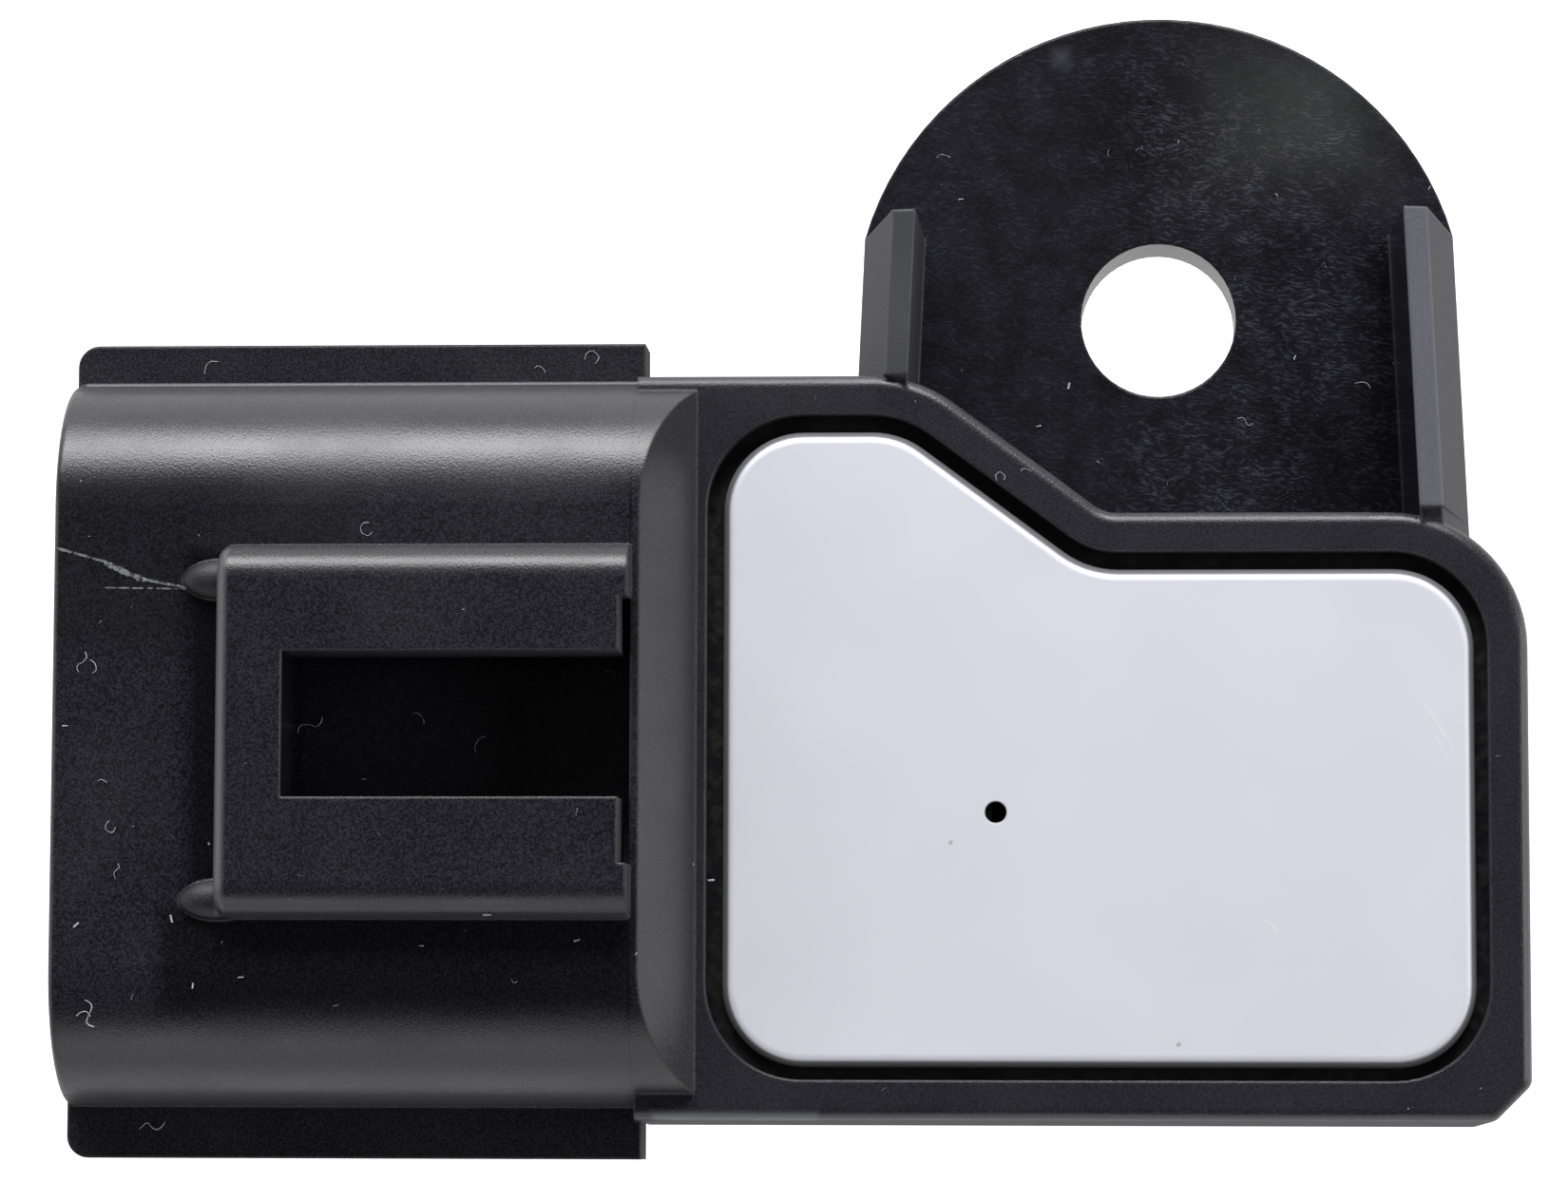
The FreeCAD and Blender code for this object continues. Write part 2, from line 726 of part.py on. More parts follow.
def make_terminal(number):
    """Blade that runs from the socket through the wall and bends down through the board."""
    body = solid_body(f"terminal_{number}")
    tip = -size.mouthDistance + size.bladeRecess
    bend = size.bendInside
    outside = bend + size.bladeThickness
    front = tail_place + size.tailWidth / 2
    back = front - size.bladeThickness
    foot = board_under - size.tailBelow
    sketch = sketch_on(body, "XZ_Plane", -terminal_side(number), "terminal_profile")
    outline(sketch, [
        (tip, blade_under, 0),
        (back - bend, blade_under - bend, -bend),
        (back, foot, 0),
        (front, foot, 0),
        (front - outside, blade_top - outside, outside),
        (tip, blade_top, 0),
    ])
    blade = grow(body, "Pad", sketch, "blade", size.bladeWidth, both_ways=True)
    finish_edges(body, "Chamfer", blade, lambda edge: all(near(p.x, tip) for p in ends(edge)),
                 size.tipChamfer, "blade_tip")
    shoulder = board_top + size.tailShoulder
    spare = size.bladeWidth
    for hand in (1, -1):
        sketch = sketch_on(body, "XY_Plane", foot, f"tail_side_{'upper' if hand > 0 else 'lower'}")
        edge = terminal_side(number) + size.tailWidth / 2 * hand
        far = terminal_side(number) + spare * hand
        low, high = (edge, far) if hand > 0 else (far, edge)
        rectangle(sketch, back - spare, front + spare, low, high)
        grow(body, "Pocket", sketch, f"tail_cut_{'upper' if hand > 0 else 'lower'}",
             shoulder - foot, reversed_side=True)
    return body


def make_board():
    """Board in the outline of the chamber, drilled for the terminals and over the port."""
    body = solid_body("circuit_board")
    sketch = sketch_on(body, "XY_Plane", board_under, "board_outline")
    inner_outline(sketch, board_inset)
    circle(sketch, 0, 0, size.boardVent / 2)
    for number in (1, 2, 3):
        circle(sketch, tail_place, terminal_side(number), size.boardHole / 2)
    grow(body, "Pad", sketch, "board", size.boardThickness)
    return body


def cylinder(name, x, y, z, radius, height):
    item = doc.addObject("Part::Cylinder", name)
    bind(item, "Radius", radius)
    bind(item, "Height", height)
    place(item, x, y, z)
    return item


def block(name, x, y, z, length, width, height):
    """A box centred on x and y that stands on z."""
    x, y = measure(x), measure(y)
    item = doc.addObject("Part::Box", name)
    bind(item, "Length", length)
    bind(item, "Width", width)
    bind(item, "Height", height)
    place(item, x - length / 2, y - width / 2, z)
    return item


def cut(name, base, tool):
    item = doc.addObject("Part::Cut", name)
    item.Base = base
    item.Tool = tool
    return item


def fuse(name, shapes):
    item = doc.addObject("Part::MultiFuse", name)
    item.Shapes = shapes
    return item


def make_adhesive():
    """Adhesive under the board: a ring on the boss and a dab on each post."""
    low = chamber_floor + size.supportHeight
    disc = cylinder("glue_disc", 0, 0, low, size.bossDiameter / 2, size.glueThickness)
    hole = cylinder("glue_hole", 0, 0, low, size.glueInside / 2, size.glueThickness)
    ring = cut("glue_ring", disc, hole)
    dabs = [cylinder(f"glue_dab_{number}", x, y, low, size.postDiameter / 2, size.glueThickness)
            for number, (x, y) in enumerate(post_places(), start=1)]
    return fuse("board_adhesive", [ring, *dabs])


def make_cell(board):
    """Glass pedestal, silicon chip, bond wires, gel and the wall round the gel."""
    side = size.pedestalSide
    solid = block("pedestal_block", 0, 0, board_top, side, side, size.pedestalHeight)
    bore = cylinder("pedestal_bore", 0, 0, board_top, size.pedestalBore / 2, size.pedestalHeight)
    pedestal = cut("cell_pedestal", solid, bore)
    chip_base = board_top + size.pedestalHeight
    chip = block("pressure_chip", 0, 0, chip_base, size.chipSide, size.chipSide, size.chipHeight)
    doc.recompute()
    loops = make_loops(chip_base + size.chipHeight)
    wires = cut("bond_wires", cut("wires_on_chip", loops, chip), board)

    wall_radius = size.gelWallOuter / 2
    gel_radius = wall_radius - size.gelWallThickness
    tube = cylinder("gel_wall_outside", 0, 0, board_top, wall_radius, size.gelWallHeight)
    inside = cylinder("gel_wall_inside", 0, 0, board_top, gel_radius, size.gelWallHeight)
    wall = cut("gel_wall", tube, inside)
    gel = cylinder("gel_fill", 0, 0, board_top, gel_radius, size.gelHeight)
    gel = cut("gel_round_pedestal", gel, solid)
    gel = cut("gel_round_chip", gel, chip)
    gel = cut("protective_gel", gel, wires)
    return [pedestal, chip, wires, wall, gel]


def make_loops(chip_top):
    """Bond wires: arcs from the chip's face down to the board on both sides."""
    start_x = (size.chipSide / 2 - size.wireInset).value
    pad_x = size.wirePad.value
    radius = size.wireThickness.value / 2
    high = chip_top.value - radius
    low = board_top.value - radius
    peak = Vector((start_x + pad_x) / 2, 0, chip_top.value + size.wireRise.value)
    loops = []
    for hand in (1, -1):
        for step in (-1.5, -0.5, 0.5, 1.5):
            side = Vector(0, size.wireSpacing.value * step, 0)
            turned = [Vector(point.x * hand, 0, point.z) + side
                      for point in (Vector(start_x, 0, high), peak, Vector(pad_x, 0, low))]
            path = Part.Wire([Part.Arc(*turned).toShape()])
            along = path.Edges[0].tangentAt(path.Edges[0].FirstParameter)
            section = Part.Wire([Part.Circle(turned[0], along, radius).toShape()])
            loops.append(path.makePipeShell([section], True, True))
    wires = doc.addObject("Part::Feature", "wire_loops")
    wires.Shape = Part.makeCompound(loops)
    wires.Placement = Placement(Vector(0, 0, 0), Rotation())
    return wires


def make_solder(number, terminal):
    """Solder that fills the board's hole round a terminal and stands up as a cone."""
    x, y = tail_place, terminal_side(number)
    fill = cylinder(f"solder_fill_{number}", x, y, board_under, size.boardHole / 2, size.boardThickness)
    cones = []
    for name, low, wide, narrow in (("above", board_top, size.solderRadius, size.boardHole / 2),
                                    ("below", board_under - size.solderHeight, size.boardHole / 2,
                                     size.solderRadius)):
        cone = doc.addObject("Part::Cone", f"solder_{name}_{number}")
        bind(cone, "Radius1", wide)
        bind(cone, "Radius2", narrow)
        bind(cone, "Height", size.solderHeight)
        place(cone, x, y, low)
        cones.append(cone)
    lump = fuse(f"solder_lump_{number}", [fill, *cones])
    return cut(f"solder_joint_{number}", lump, terminal)


def rounded_block(name, x, y, z, length, width, height):
    """A moulded or fired block with its long upper edges rounded."""
    plain = block(f"{name}_block", x, y, z, length, width, height)
    doc.recompute()
    item = doc.addObject("Part::Fillet", name)
    item.Base = plain
    top = plain.Shape.BoundBox.ZMax
    chosen = [number for number, edge in enumerate(plain.Shape.Edges, start=1)
              if all(near(point.z, top) for point in ends(edge))]
    item.Edges = [(number, size.chipRounding.value, size.chipRounding.value) for number in chosen]
    return item


def make_amplifier():
    """Signal chip in its moulded package, with four leads on each long side."""
    x, y = -size.amplifierLeft, -size.amplifierBelow
    package = rounded_block("signal_chip", x, y, board_top + size.standOff, size.amplifierLength,
                            size.amplifierWidth, size.amplifierHeight)
    middle = board_top + size.standOff + size.amplifierHeight / 2
    thickness = size.leadThickness
    reach = size.leadSpan / 2
    inside = size.amplifierWidth / 2
    knee = inside + (reach - inside) / 3
    leads = []
    for hand in (1, -1):
        for step in (-1.5, -0.5, 0.5, 1.5):
            name = f"{'upper' if hand > 0 else 'lower'}_lead_{int(step + 2.5)}"
            lead_x = x + size.leadPitch * step
            arm = block(f"{name}_arm", lead_x, y + (inside + knee + thickness) / 2 * hand, middle,
                        size.leadWidth, knee + thickness - inside, thickness)
            post = block(f"{name}_post", lead_x, y + (knee + thickness / 2) * hand, board_top,
                         size.leadWidth, thickness, middle - board_top + thickness)
            foot = block(f"{name}_foot", lead_x, y + (knee + reach) / 2 * hand, board_top,
                         size.leadWidth, reach - knee, thickness)
            leads += [arm, post, foot]
    return [package, fuse("chip_leads", leads)]


def make_small_parts():
    """Capacitors in a row beside the terminals, resistors beside the pressure cell."""
    parts = []
    for number in (1, 2, 3):
        y = size.capacitorAbove + size.capacitorPitch * (number - 1)
        parts.append(rounded_block(f"capacitor_{number}", tail_place + size.capacitorRight, y, board_top,
                                   size.capacitorLength, size.capacitorWidth, size.capacitorHeight))
    for number in (1, 2):
        y = size.resistorAbove + size.resistorPitch * (number - 1)
        parts.append(rounded_block(f"resistor_{number}", size.resistorRight, y, board_top,
                                   size.resistorLength, size.resistorWidth, size.resistorHeight))
    return parts


def make_ring():
    """Sealing ring that sits in the port's groove."""
    ring = doc.addObject("Part::Torus", "port_o_ring")
    bind(ring, "Radius1", size.ringSeat / 2 + size.ringThickness / 2)
    bind(ring, "Radius2", size.ringThickness / 2)
    place(ring, 0, 0, -size.ringDistance - size.ringGroove / 2)
    return ring


print("lid and housing")
lid = make_lid()
moulding = make_housing()
terminals = [make_terminal(number) for number in (1, 2, 3)]
doc.recompute()

# The plastic is moulded round the terminals
housing = cut("housing", moulding, fuse("terminals", terminals))

print("electronics")
nodes = {"housing": housing, "lid": lid, "lid_sealant": make_sealant(lid)}
for number, terminal in enumerate(terminals, start=1):
    nodes[f"terminal_{number}"] = terminal
    nodes[f"solder_joint_{number}"] = make_solder(number, terminal)
board = make_board()
for item in [board, make_adhesive(), *make_cell(board), *make_amplifier(), *make_small_parts(), make_ring()]:
    nodes[item.Name] = item
doc.recompute()

print("checks")
for item in doc.Objects:
    if "Invalid" in item.State or "Error" in item.State:
        raise RuntimeError(f"{item.Name} has failed: {item.State}")
for name, item in nodes.items():
    item.Label = name
    if item.Shape.isNull() or not item.Shape.isValid():
        raise RuntimeError(f"{name} has no valid shape")

for name, item in nodes.items():
    box = item.Shape.BoundBox
    print(f"{name}: {len(item.Shape.Solids)} solid, {item.Shape.Volume:.2f} mm3, "
          f"x {box.XMin:.2f} to {box.XMax:.2f}, y {box.YMin:.2f} to {box.YMax:.2f}, "
          f"z {box.ZMin:.2f} to {box.ZMax:.2f}")
    item.Shape.exportStep(f"parts/{name}.step")
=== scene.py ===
import bpy
import json
import math
from mathutils import Matrix, Vector


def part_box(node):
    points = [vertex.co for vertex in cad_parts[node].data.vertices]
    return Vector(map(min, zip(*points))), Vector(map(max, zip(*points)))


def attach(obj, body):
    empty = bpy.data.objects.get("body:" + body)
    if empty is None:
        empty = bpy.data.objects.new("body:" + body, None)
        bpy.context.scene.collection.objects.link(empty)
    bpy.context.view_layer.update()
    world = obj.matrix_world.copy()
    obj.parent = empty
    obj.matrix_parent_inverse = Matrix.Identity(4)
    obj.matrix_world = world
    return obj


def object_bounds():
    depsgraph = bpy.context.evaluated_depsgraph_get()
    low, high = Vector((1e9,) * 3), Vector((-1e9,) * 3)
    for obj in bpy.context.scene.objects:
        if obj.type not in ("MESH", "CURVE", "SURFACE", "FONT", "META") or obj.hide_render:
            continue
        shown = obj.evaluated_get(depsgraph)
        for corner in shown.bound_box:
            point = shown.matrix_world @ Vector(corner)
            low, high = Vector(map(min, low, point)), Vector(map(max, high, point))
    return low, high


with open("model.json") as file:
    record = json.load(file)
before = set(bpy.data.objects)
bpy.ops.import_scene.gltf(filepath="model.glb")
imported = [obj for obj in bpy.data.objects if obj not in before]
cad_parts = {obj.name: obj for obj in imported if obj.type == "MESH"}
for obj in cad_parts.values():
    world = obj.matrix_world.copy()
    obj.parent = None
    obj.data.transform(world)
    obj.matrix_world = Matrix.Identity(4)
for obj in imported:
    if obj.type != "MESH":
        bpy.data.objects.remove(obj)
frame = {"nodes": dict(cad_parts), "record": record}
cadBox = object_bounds()
scene = bpy.context.scene
mm = 0.001
perMetre = 1 / mm  # over a size in mm: how often it fits in a metre
print("frame loaded")

# The camera looks almost straight down on the lid
camera = {
    "place": (-3.624, -12.968, 233.794),  # mm
    "right": (0.99862889, 0.002963, -0.05226431),
    "down": (-0.00214098, -0.99524971, -0.09733158),
    "lens": 126.545,
    "sensor": 36.0,
    "clip": (0.01, 20),
}


def makeCamera():
    right = Vector(camera["right"])
    up = -Vector(camera["down"])
    turn = Matrix((right, up, right.cross(up))).transposed().to_4x4()
    data = bpy.data.cameras.new("photoCamera")
    data.lens = camera["lens"]
    data.sensor_fit = "HORIZONTAL"
    data.sensor_width = camera["sensor"]
    data.clip_start, data.clip_end = camera["clip"]
    item = bpy.data.objects.new("photoCamera", data)
    item.matrix_world = Matrix.Translation(Vector(camera["place"]) * mm) @ turn
    scene.collection.objects.link(item)
    scene.camera = item


makeCamera()
scene.view_settings.view_transform = "Standard"
print("camera set")

# Light: a large softbox beyond the lug, a weaker one below, strips at both sides
studio = {
    "aim": (-15, 8, 8),  # mm
    "lamps": {
        # name: (degrees from straight up, compass from +X, distance, width, height, radiance)
        "mainBox": (59, 93, 0.75, 0.66, 0.30, 16.0),
        "fillBox": (64, 268, 0.75, 0.70, 0.30, 1.5),
        "leftStrip": (66, 180, 0.70, 0.40, 0.20, 2.6),
        "rightStrip": (62, 0, 0.70, 0.40, 0.20, 6.0),
    },
}


def makeLamps():
    aim = Vector(studio["aim"]) * mm
    for name, (tilt, compass, distance, width, height, radiance) in studio["lamps"].items():
        data = bpy.data.lights.new(name, "AREA")
        data.shape = "RECTANGLE"
        data.size = width
        data.size_y = height
        data.energy = radiance * math.pi * width * height
        tilt, compass = math.radians(tilt), math.radians(compass)
        level = math.sin(tilt)
        away = Vector((level * math.cos(compass), level * math.sin(compass), math.cos(tilt)))
        item = bpy.data.objects.new(name, data)
        item.location = aim + away * distance
        item.rotation_euler = away.to_track_quat("Z", "Y").to_euler()
        scene.collection.objects.link(item)


makeLamps()
print("lamps placed")


# Node trees: a short way to add a node, set its sockets and link it
def add(tree, kind, links=None, **settings):
    node = tree.nodes.new(kind)
    for name, value in settings.items():
        setattr(node, name, value)
    for socket, value in (links or {}).items():
        target = node.inputs[socket]
        if isinstance(value, bpy.types.NodeSocket):
            tree.links.new(value, target)
        else:
            target.default_value = value
    return node


def arithmetic(tree, operation, a, b=0.0, clamp=False):
    return add(tree, "ShaderNodeMath", {0: a, 1: b}, operation=operation, use_clamp=clamp).outputs[0]


def vectorMath(tree, operation, a, b=(0, 0, 0), result=0):
    return add(tree, "ShaderNodeVectorMath", {0: a, 1: b}, operation=operation).outputs[result]


def scaled(tree, vector, factor):
    return add(tree, "ShaderNodeVectorMath", {0: vector, "Scale": factor}, operation="SCALE").outputs[0]


def remap(tree, value, fromLow, fromHigh, toLow=0.0, toHigh=1.0, kind="LINEAR"):
    links = {"Value": value, "From Min": fromLow, "From Max": fromHigh, "To Min": toLow, "To Max": toHigh}
    return add(tree, "ShaderNodeMapRange", links, interpolation_type=kind).outputs["Result"]


def noise(tree, place, scale, detail, roughness=0.5):
    links = {"Vector": place, "Scale": scale, "Detail": detail, "Roughness": roughness}
    return add(tree, "ShaderNodeTexNoise", links).outputs


def separate(tree, vector):
    return add(tree, "ShaderNodeSeparateXYZ", {0: vector}).outputs


def blendValues(tree, factor, a, b):
    return add(tree, "ShaderNodeMix", {0: factor, 2: a, 3: b}).outputs[0]


def blendColours(tree, factor, a, b):
    node = tree.nodes.new("ShaderNodeMix")
    node.data_type = "RGBA"
    for socket, value in ((0, factor), (6, a), (7, b)):
        if isinstance(value, bpy.types.NodeSocket):
            tree.links.new(value, node.inputs[socket])
        elif socket:
            node.inputs[socket].default_value = (*value[:3], 1.0)
        else:
            node.inputs[socket].default_value = value
    return node.outputs[2]


def newGroup(name, inputs, outputs):
    tree = bpy.data.node_groups.new(name, "ShaderNodeTree")
    for label, kind, value in inputs:
        socket = tree.interface.new_socket(label, in_out="INPUT", socket_type=kind)
        socket.default_value = value
    for label, kind in outputs:
        tree.interface.new_socket(label, in_out="OUTPUT", socket_type=kind)
    return tree, tree.nodes.new("NodeGroupInput").outputs, tree.nodes.new("NodeGroupOutput").inputs


def useGroup(tree, group, **links):
    node = tree.nodes.new("ShaderNodeGroup")
    node.node_tree = group
    for name, value in links.items():
        if isinstance(value, bpy.types.NodeSocket):
            tree.links.new(value, node.inputs[name])
        else:
            node.inputs[name].default_value = value
    return node.outputs


number, point = "NodeSocketFloat", "NodeSocketVector"

# Grain of a moulded or cast skin: its height, small flecks and broad clouds
grainShape = {
    "detail": 3.0,
    "roughness": 0.62,
    "cloudDetail": 4.0,
    "pitReach": 0.7,
    "pitDepth": 0.6,
    "fleck": (0.42, 0.62),
    "cloud": (0.35, 0.68),
}


def makeGrainGroup():
    tree, given, out = newGroup(
        "fineGrain",
        [("Position", point, (0, 0, 0)), ("Size", number, 0.12), ("Clump", number, 0.9)],
        [("Height", number), ("Fleck", number), ("Cloud", number)])
    shape, place = grainShape, given["Position"]
    fine = arithmetic(tree, "DIVIDE", perMetre, given["Size"])
    broad = arithmetic(tree, "DIVIDE", perMetre, given["Clump"])
    grain = noise(tree, place, fine, shape["detail"], shape["roughness"])[0]
    cloud = noise(tree, place, broad, shape["cloudDetail"])[0]
    pits = add(tree, "ShaderNodeTexVoronoi", {"Vector": place, "Scale": fine}, feature="F1")
    hollow = remap(tree, pits.outputs["Distance"], 0.0, shape["pitReach"], 0.0, shape["pitDepth"])
    tree.links.new(arithmetic(tree, "ADD", grain, hollow), out["Height"])
    tree.links.new(remap(tree, grain, *shape["fleck"]), out["Fleck"])
    tree.links.new(remap(tree, cloud, *shape["cloud"]), out["Cloud"])
    return tree


# A box in the object's own space, full inside and fading out across its faces
def makeZoneGroup():
    tree, given, out = newGroup(
        "boxZone",
        [("Position", point, (0, 0, 0)), ("Centre", point, (0, 0, 0)), ("Half", point, (1, 1, 1)),
         ("Soft", number, 0.0002)],
        [("Mask", number)])
    away = vectorMath(tree, "ABSOLUTE", vectorMath(tree, "SUBTRACT", given["Position"], given["Centre"]))
    beyond = separate(tree, vectorMath(tree, "SUBTRACT", away, given["Half"]))
    furthest = arithmetic(tree, "MAXIMUM", arithmetic(tree, "MAXIMUM", beyond[0], beyond[1]), beyond[2])
    outside = arithmetic(tree, "MULTIPLY", given["Soft"], 0.5)
    inside = arithmetic(tree, "MULTIPLY", outside, -1.0)
    tree.links.new(remap(tree, furthest, inside, outside, 1.0, 0.0, "SMOOTHSTEP"), out["Mask"])
    return tree


# Short wavy streaks, as glass filled plastic shows where it flowed
streakShape = {
    "wanderScale": 750.0,  # per metre
    "wanderDetail": 1.0,
    "detail": 3.0,
    "roughness": 0.6,
    "mask": (0.5, 0.68),
}


def makeStreakGroup():
    tree, given, out = newGroup(
        "flowStreaks",
        [("Position", point, (0, 0, 0)), ("Turn", number, 0.0), ("Width", number, 0.1),
         ("Length", number, 1.5), ("Bend", number, 0.6)],
        [("Mask", number)])
    shape, place = streakShape, given["Position"]
    wander = noise(tree, place, shape["wanderScale"], shape["wanderDetail"])["Color"]
    centred = vectorMath(tree, "ADD", wander, (-0.5, -0.5, -0.5))
    bend = arithmetic(tree, "MULTIPLY", given["Bend"], mm)
    moved = vectorMath(tree, "ADD", place, scaled(tree, centred, bend))
    turned = add(tree, "ShaderNodeVectorRotate", {"Vector": moved, "Axis": (0, 0, 1), "Angle": given["Turn"]},
                 rotation_type="AXIS_ANGLE").outputs[0]
    along = arithmetic(tree, "DIVIDE", perMetre, given["Length"])
    across = arithmetic(tree, "DIVIDE", perMetre, given["Width"])
    spread = add(tree, "ShaderNodeCombineXYZ", {0: along, 1: across, 2: across}).outputs[0]
    stretched = vectorMath(tree, "MULTIPLY", turned, spread)
    streak = noise(tree, stretched, 1.0, shape["detail"], shape["roughness"])[0]
    tree.links.new(remap(tree, streak, *shape["mask"]), out["Mask"])
    return tree


# Single dust specks: one cell in so many holds one, and each has its own size
speckShape = {"wobbleScale": 9000.0, "wobbleDetail": 1.0, "wobble": 2.0, "smallest": 0.4}


def makeSpeckGroup():
    tree, given, out = newGroup(
        "dustSpecks",
        [("Position", point, (0, 0, 0)), ("Spacing", number, 2.0), ("Size", number, 0.05),
         ("Share", number, 0.4)],
        [("Mask", number)])
    shape, place = speckShape, given["Position"]
    wobble = noise(tree, place, shape["wobbleScale"], shape["wobbleDetail"])[0]
    spacing = arithmetic(tree, "DIVIDE", perMetre, given["Spacing"])
    cells = add(tree, "ShaderNodeTexVoronoi", {"Vector": place, "Scale": spacing}, feature="F1").outputs
    chance = add(tree, "ShaderNodeSeparateColor", {0: cells["Color"]}).outputs
    reach = arithmetic(tree, "DIVIDE", given["Size"], given["Spacing"])
    reach = arithmetic(tree, "MULTIPLY", reach, arithmetic(tree, "ADD", chance[1], shape["smallest"]))
    reach = arithmetic(tree, "MULTIPLY", reach, arithmetic(tree, "MULTIPLY", wobble, shape["wobble"]))
    inside = arithmetic(tree, "LESS_THAN", cells["Distance"], reach)
    chosen = arithmetic(tree, "LESS_THAN", chance[0], given["Share"])
    tree.links.new(arithmetic(tree, "MULTIPLY", inside, chosen), out["Mask"])
    return tree


# A frayed scratch between two points, with gaps in it
scratchShape = {"frayScale": 5000.0, "frayDetail": 2.0, "edge": (0.5, 1.0), "gaps": (0.35, 0.55)}


def makeScratchGroup():
    tree, given, out = newGroup(
        "scratchLine",
        [("Position", point, (0, 0, 0)), ("From", point, (0, 0, 0)), ("To", point, (1, 0, 0)),
         ("Width", number, 0.1)],
        [("Mask", number)])
    shape = scratchShape
    fray = noise(tree, given["Position"], shape["frayScale"], shape["frayDetail"])[0]
    way = vectorMath(tree, "SUBTRACT", given["To"], given["From"])
    local = vectorMath(tree, "SUBTRACT", given["Position"], given["From"])
    along = arithmetic(tree, "DIVIDE", vectorMath(tree, "DOT_PRODUCT", local, way, "Value"),
                       vectorMath(tree, "DOT_PRODUCT", way, way, "Value"), clamp=True)
    nearest = vectorMath(tree, "SUBTRACT", local, scaled(tree, way, along))
    away = vectorMath(tree, "LENGTH", nearest, result="Value")
    reach = arithmetic(tree, "MULTIPLY", given["Width"], arithmetic(tree, "MULTIPLY", fray, mm))
    line = remap(tree, arithmetic(tree, "DIVIDE", away, reach), *shape["edge"], 1.0, 0.0)
    tree.links.new(arithmetic(tree, "MULTIPLY", line, remap(tree, fray, *shape["gaps"])), out["Mask"])
    return tree


# Wear on the edges, found where the rounded normal leaves the plain one
wearShape = {"rubScale": 1400.0, "rubDetail": 3.0, "rub": (0.3, 0.65), "least": 0.25}


def makeEdgeGroup():
    tree, given, out = newGroup(
        "edgeWear",
        [("Rounded", point, (0, 0, 1)), ("Plain", point, (0, 0, 1)), ("Position", point, (0, 0, 0)),
         ("Reach", number, 0.12)],
        [("Mask", number)])
    shape = wearShape
    facing = vectorMath(tree, "DOT_PRODUCT", given["Rounded"], given["Plain"], "Value")
    turned = arithmetic(tree, "SUBTRACT", 1.0, facing)
    rubbed = noise(tree, given["Position"], shape["rubScale"], shape["rubDetail"])[0]
    uneven = remap(tree, rubbed, *shape["rub"], shape["least"], 1.0)
    edge = arithmetic(tree, "DIVIDE", turned, given["Reach"], clamp=True)
    tree.links.new(arithmetic(tree, "MULTIPLY", edge, uneven), out["Mask"])
    return tree


grainGroup = makeGrainGroup()
zoneGroup = makeZoneGroup()
streakGroup = makeStreakGroup()
speckGroup = makeSpeckGroup()
scratchGroup = makeScratchGroup()
edgeGroup = makeEdgeGroup()
print("node groups made")


def newMaterial(name):
    material = bpy.data.materials.new(name)
    material.use_nodes = True
    tree = material.node_tree
    tree.nodes.clear()
    shader = tree.nodes.new("ShaderNodeBsdfPrincipled")
    result = tree.nodes.new("ShaderNodeOutputMaterial")
    tree.links.new(shader.outputs[0], result.inputs["Surface"])
    place = tree.nodes.new("ShaderNodeTexCoord").outputs["Object"]
    return material, tree, shader, place


def roundedNormal(tree, radius):
    return add(tree, "ShaderNodeBevel", {"Radius": radius * mm}, samples=4).outputs[0]


def relief(tree, shader, height, depth, normal=None):
    bump = add(tree, "ShaderNodeBump", {"Height": height, "Distance": depth * mm})
    if normal is not None:
        tree.links.new(normal, bump.inputs["Normal"])
    tree.links.new(bump.outputs[0], shader.inputs["Normal"])


def zone(tree, place, low, high, soft):
    low, high = Vector(low) * mm, Vector(high) * mm
    links = {"Centre": (low + high) / 2, "Half": (high - low) / 2, "Soft": soft * mm}
    return useGroup(tree, zoneGroup, Position=place, **links)["Mask"]


def anyZone(tree, place, rows):
    mask = 0.0
    for row in rows:
        mask = arithmetic(tree, "MAXIMUM", mask, zone(tree, place, *row))
    return mask


def tint(tree, place, colour, rows):
    for low, high, soft, second, strength in rows:
        mask = arithmetic(tree, "MULTIPLY", zone(tree, place, low, high, soft), strength)
        colour = blendColours(tree, mask, colour, second)
    return colour


def specked(tree, place, colour, specks, dust, strength):
    mask = useGroup(tree, speckGroup, Position=place, **specks)["Mask"]
    return blendColours(tree, arithmetic(tree, "MULTIPLY", mask, strength), colour, dust)


def scratched(tree, place, colour, rows, pale, strength):
    for start, end, width in rows:
        ends = {"From": Vector(start) * mm, "To": Vector(end) * mm}
        mask = useGroup(tree, scratchGroup, Position=place, Width=width, **ends)["Mask"]
        colour = blendColours(tree, arithmetic(tree, "MULTIPLY", mask, strength), colour, pale)
    return colour


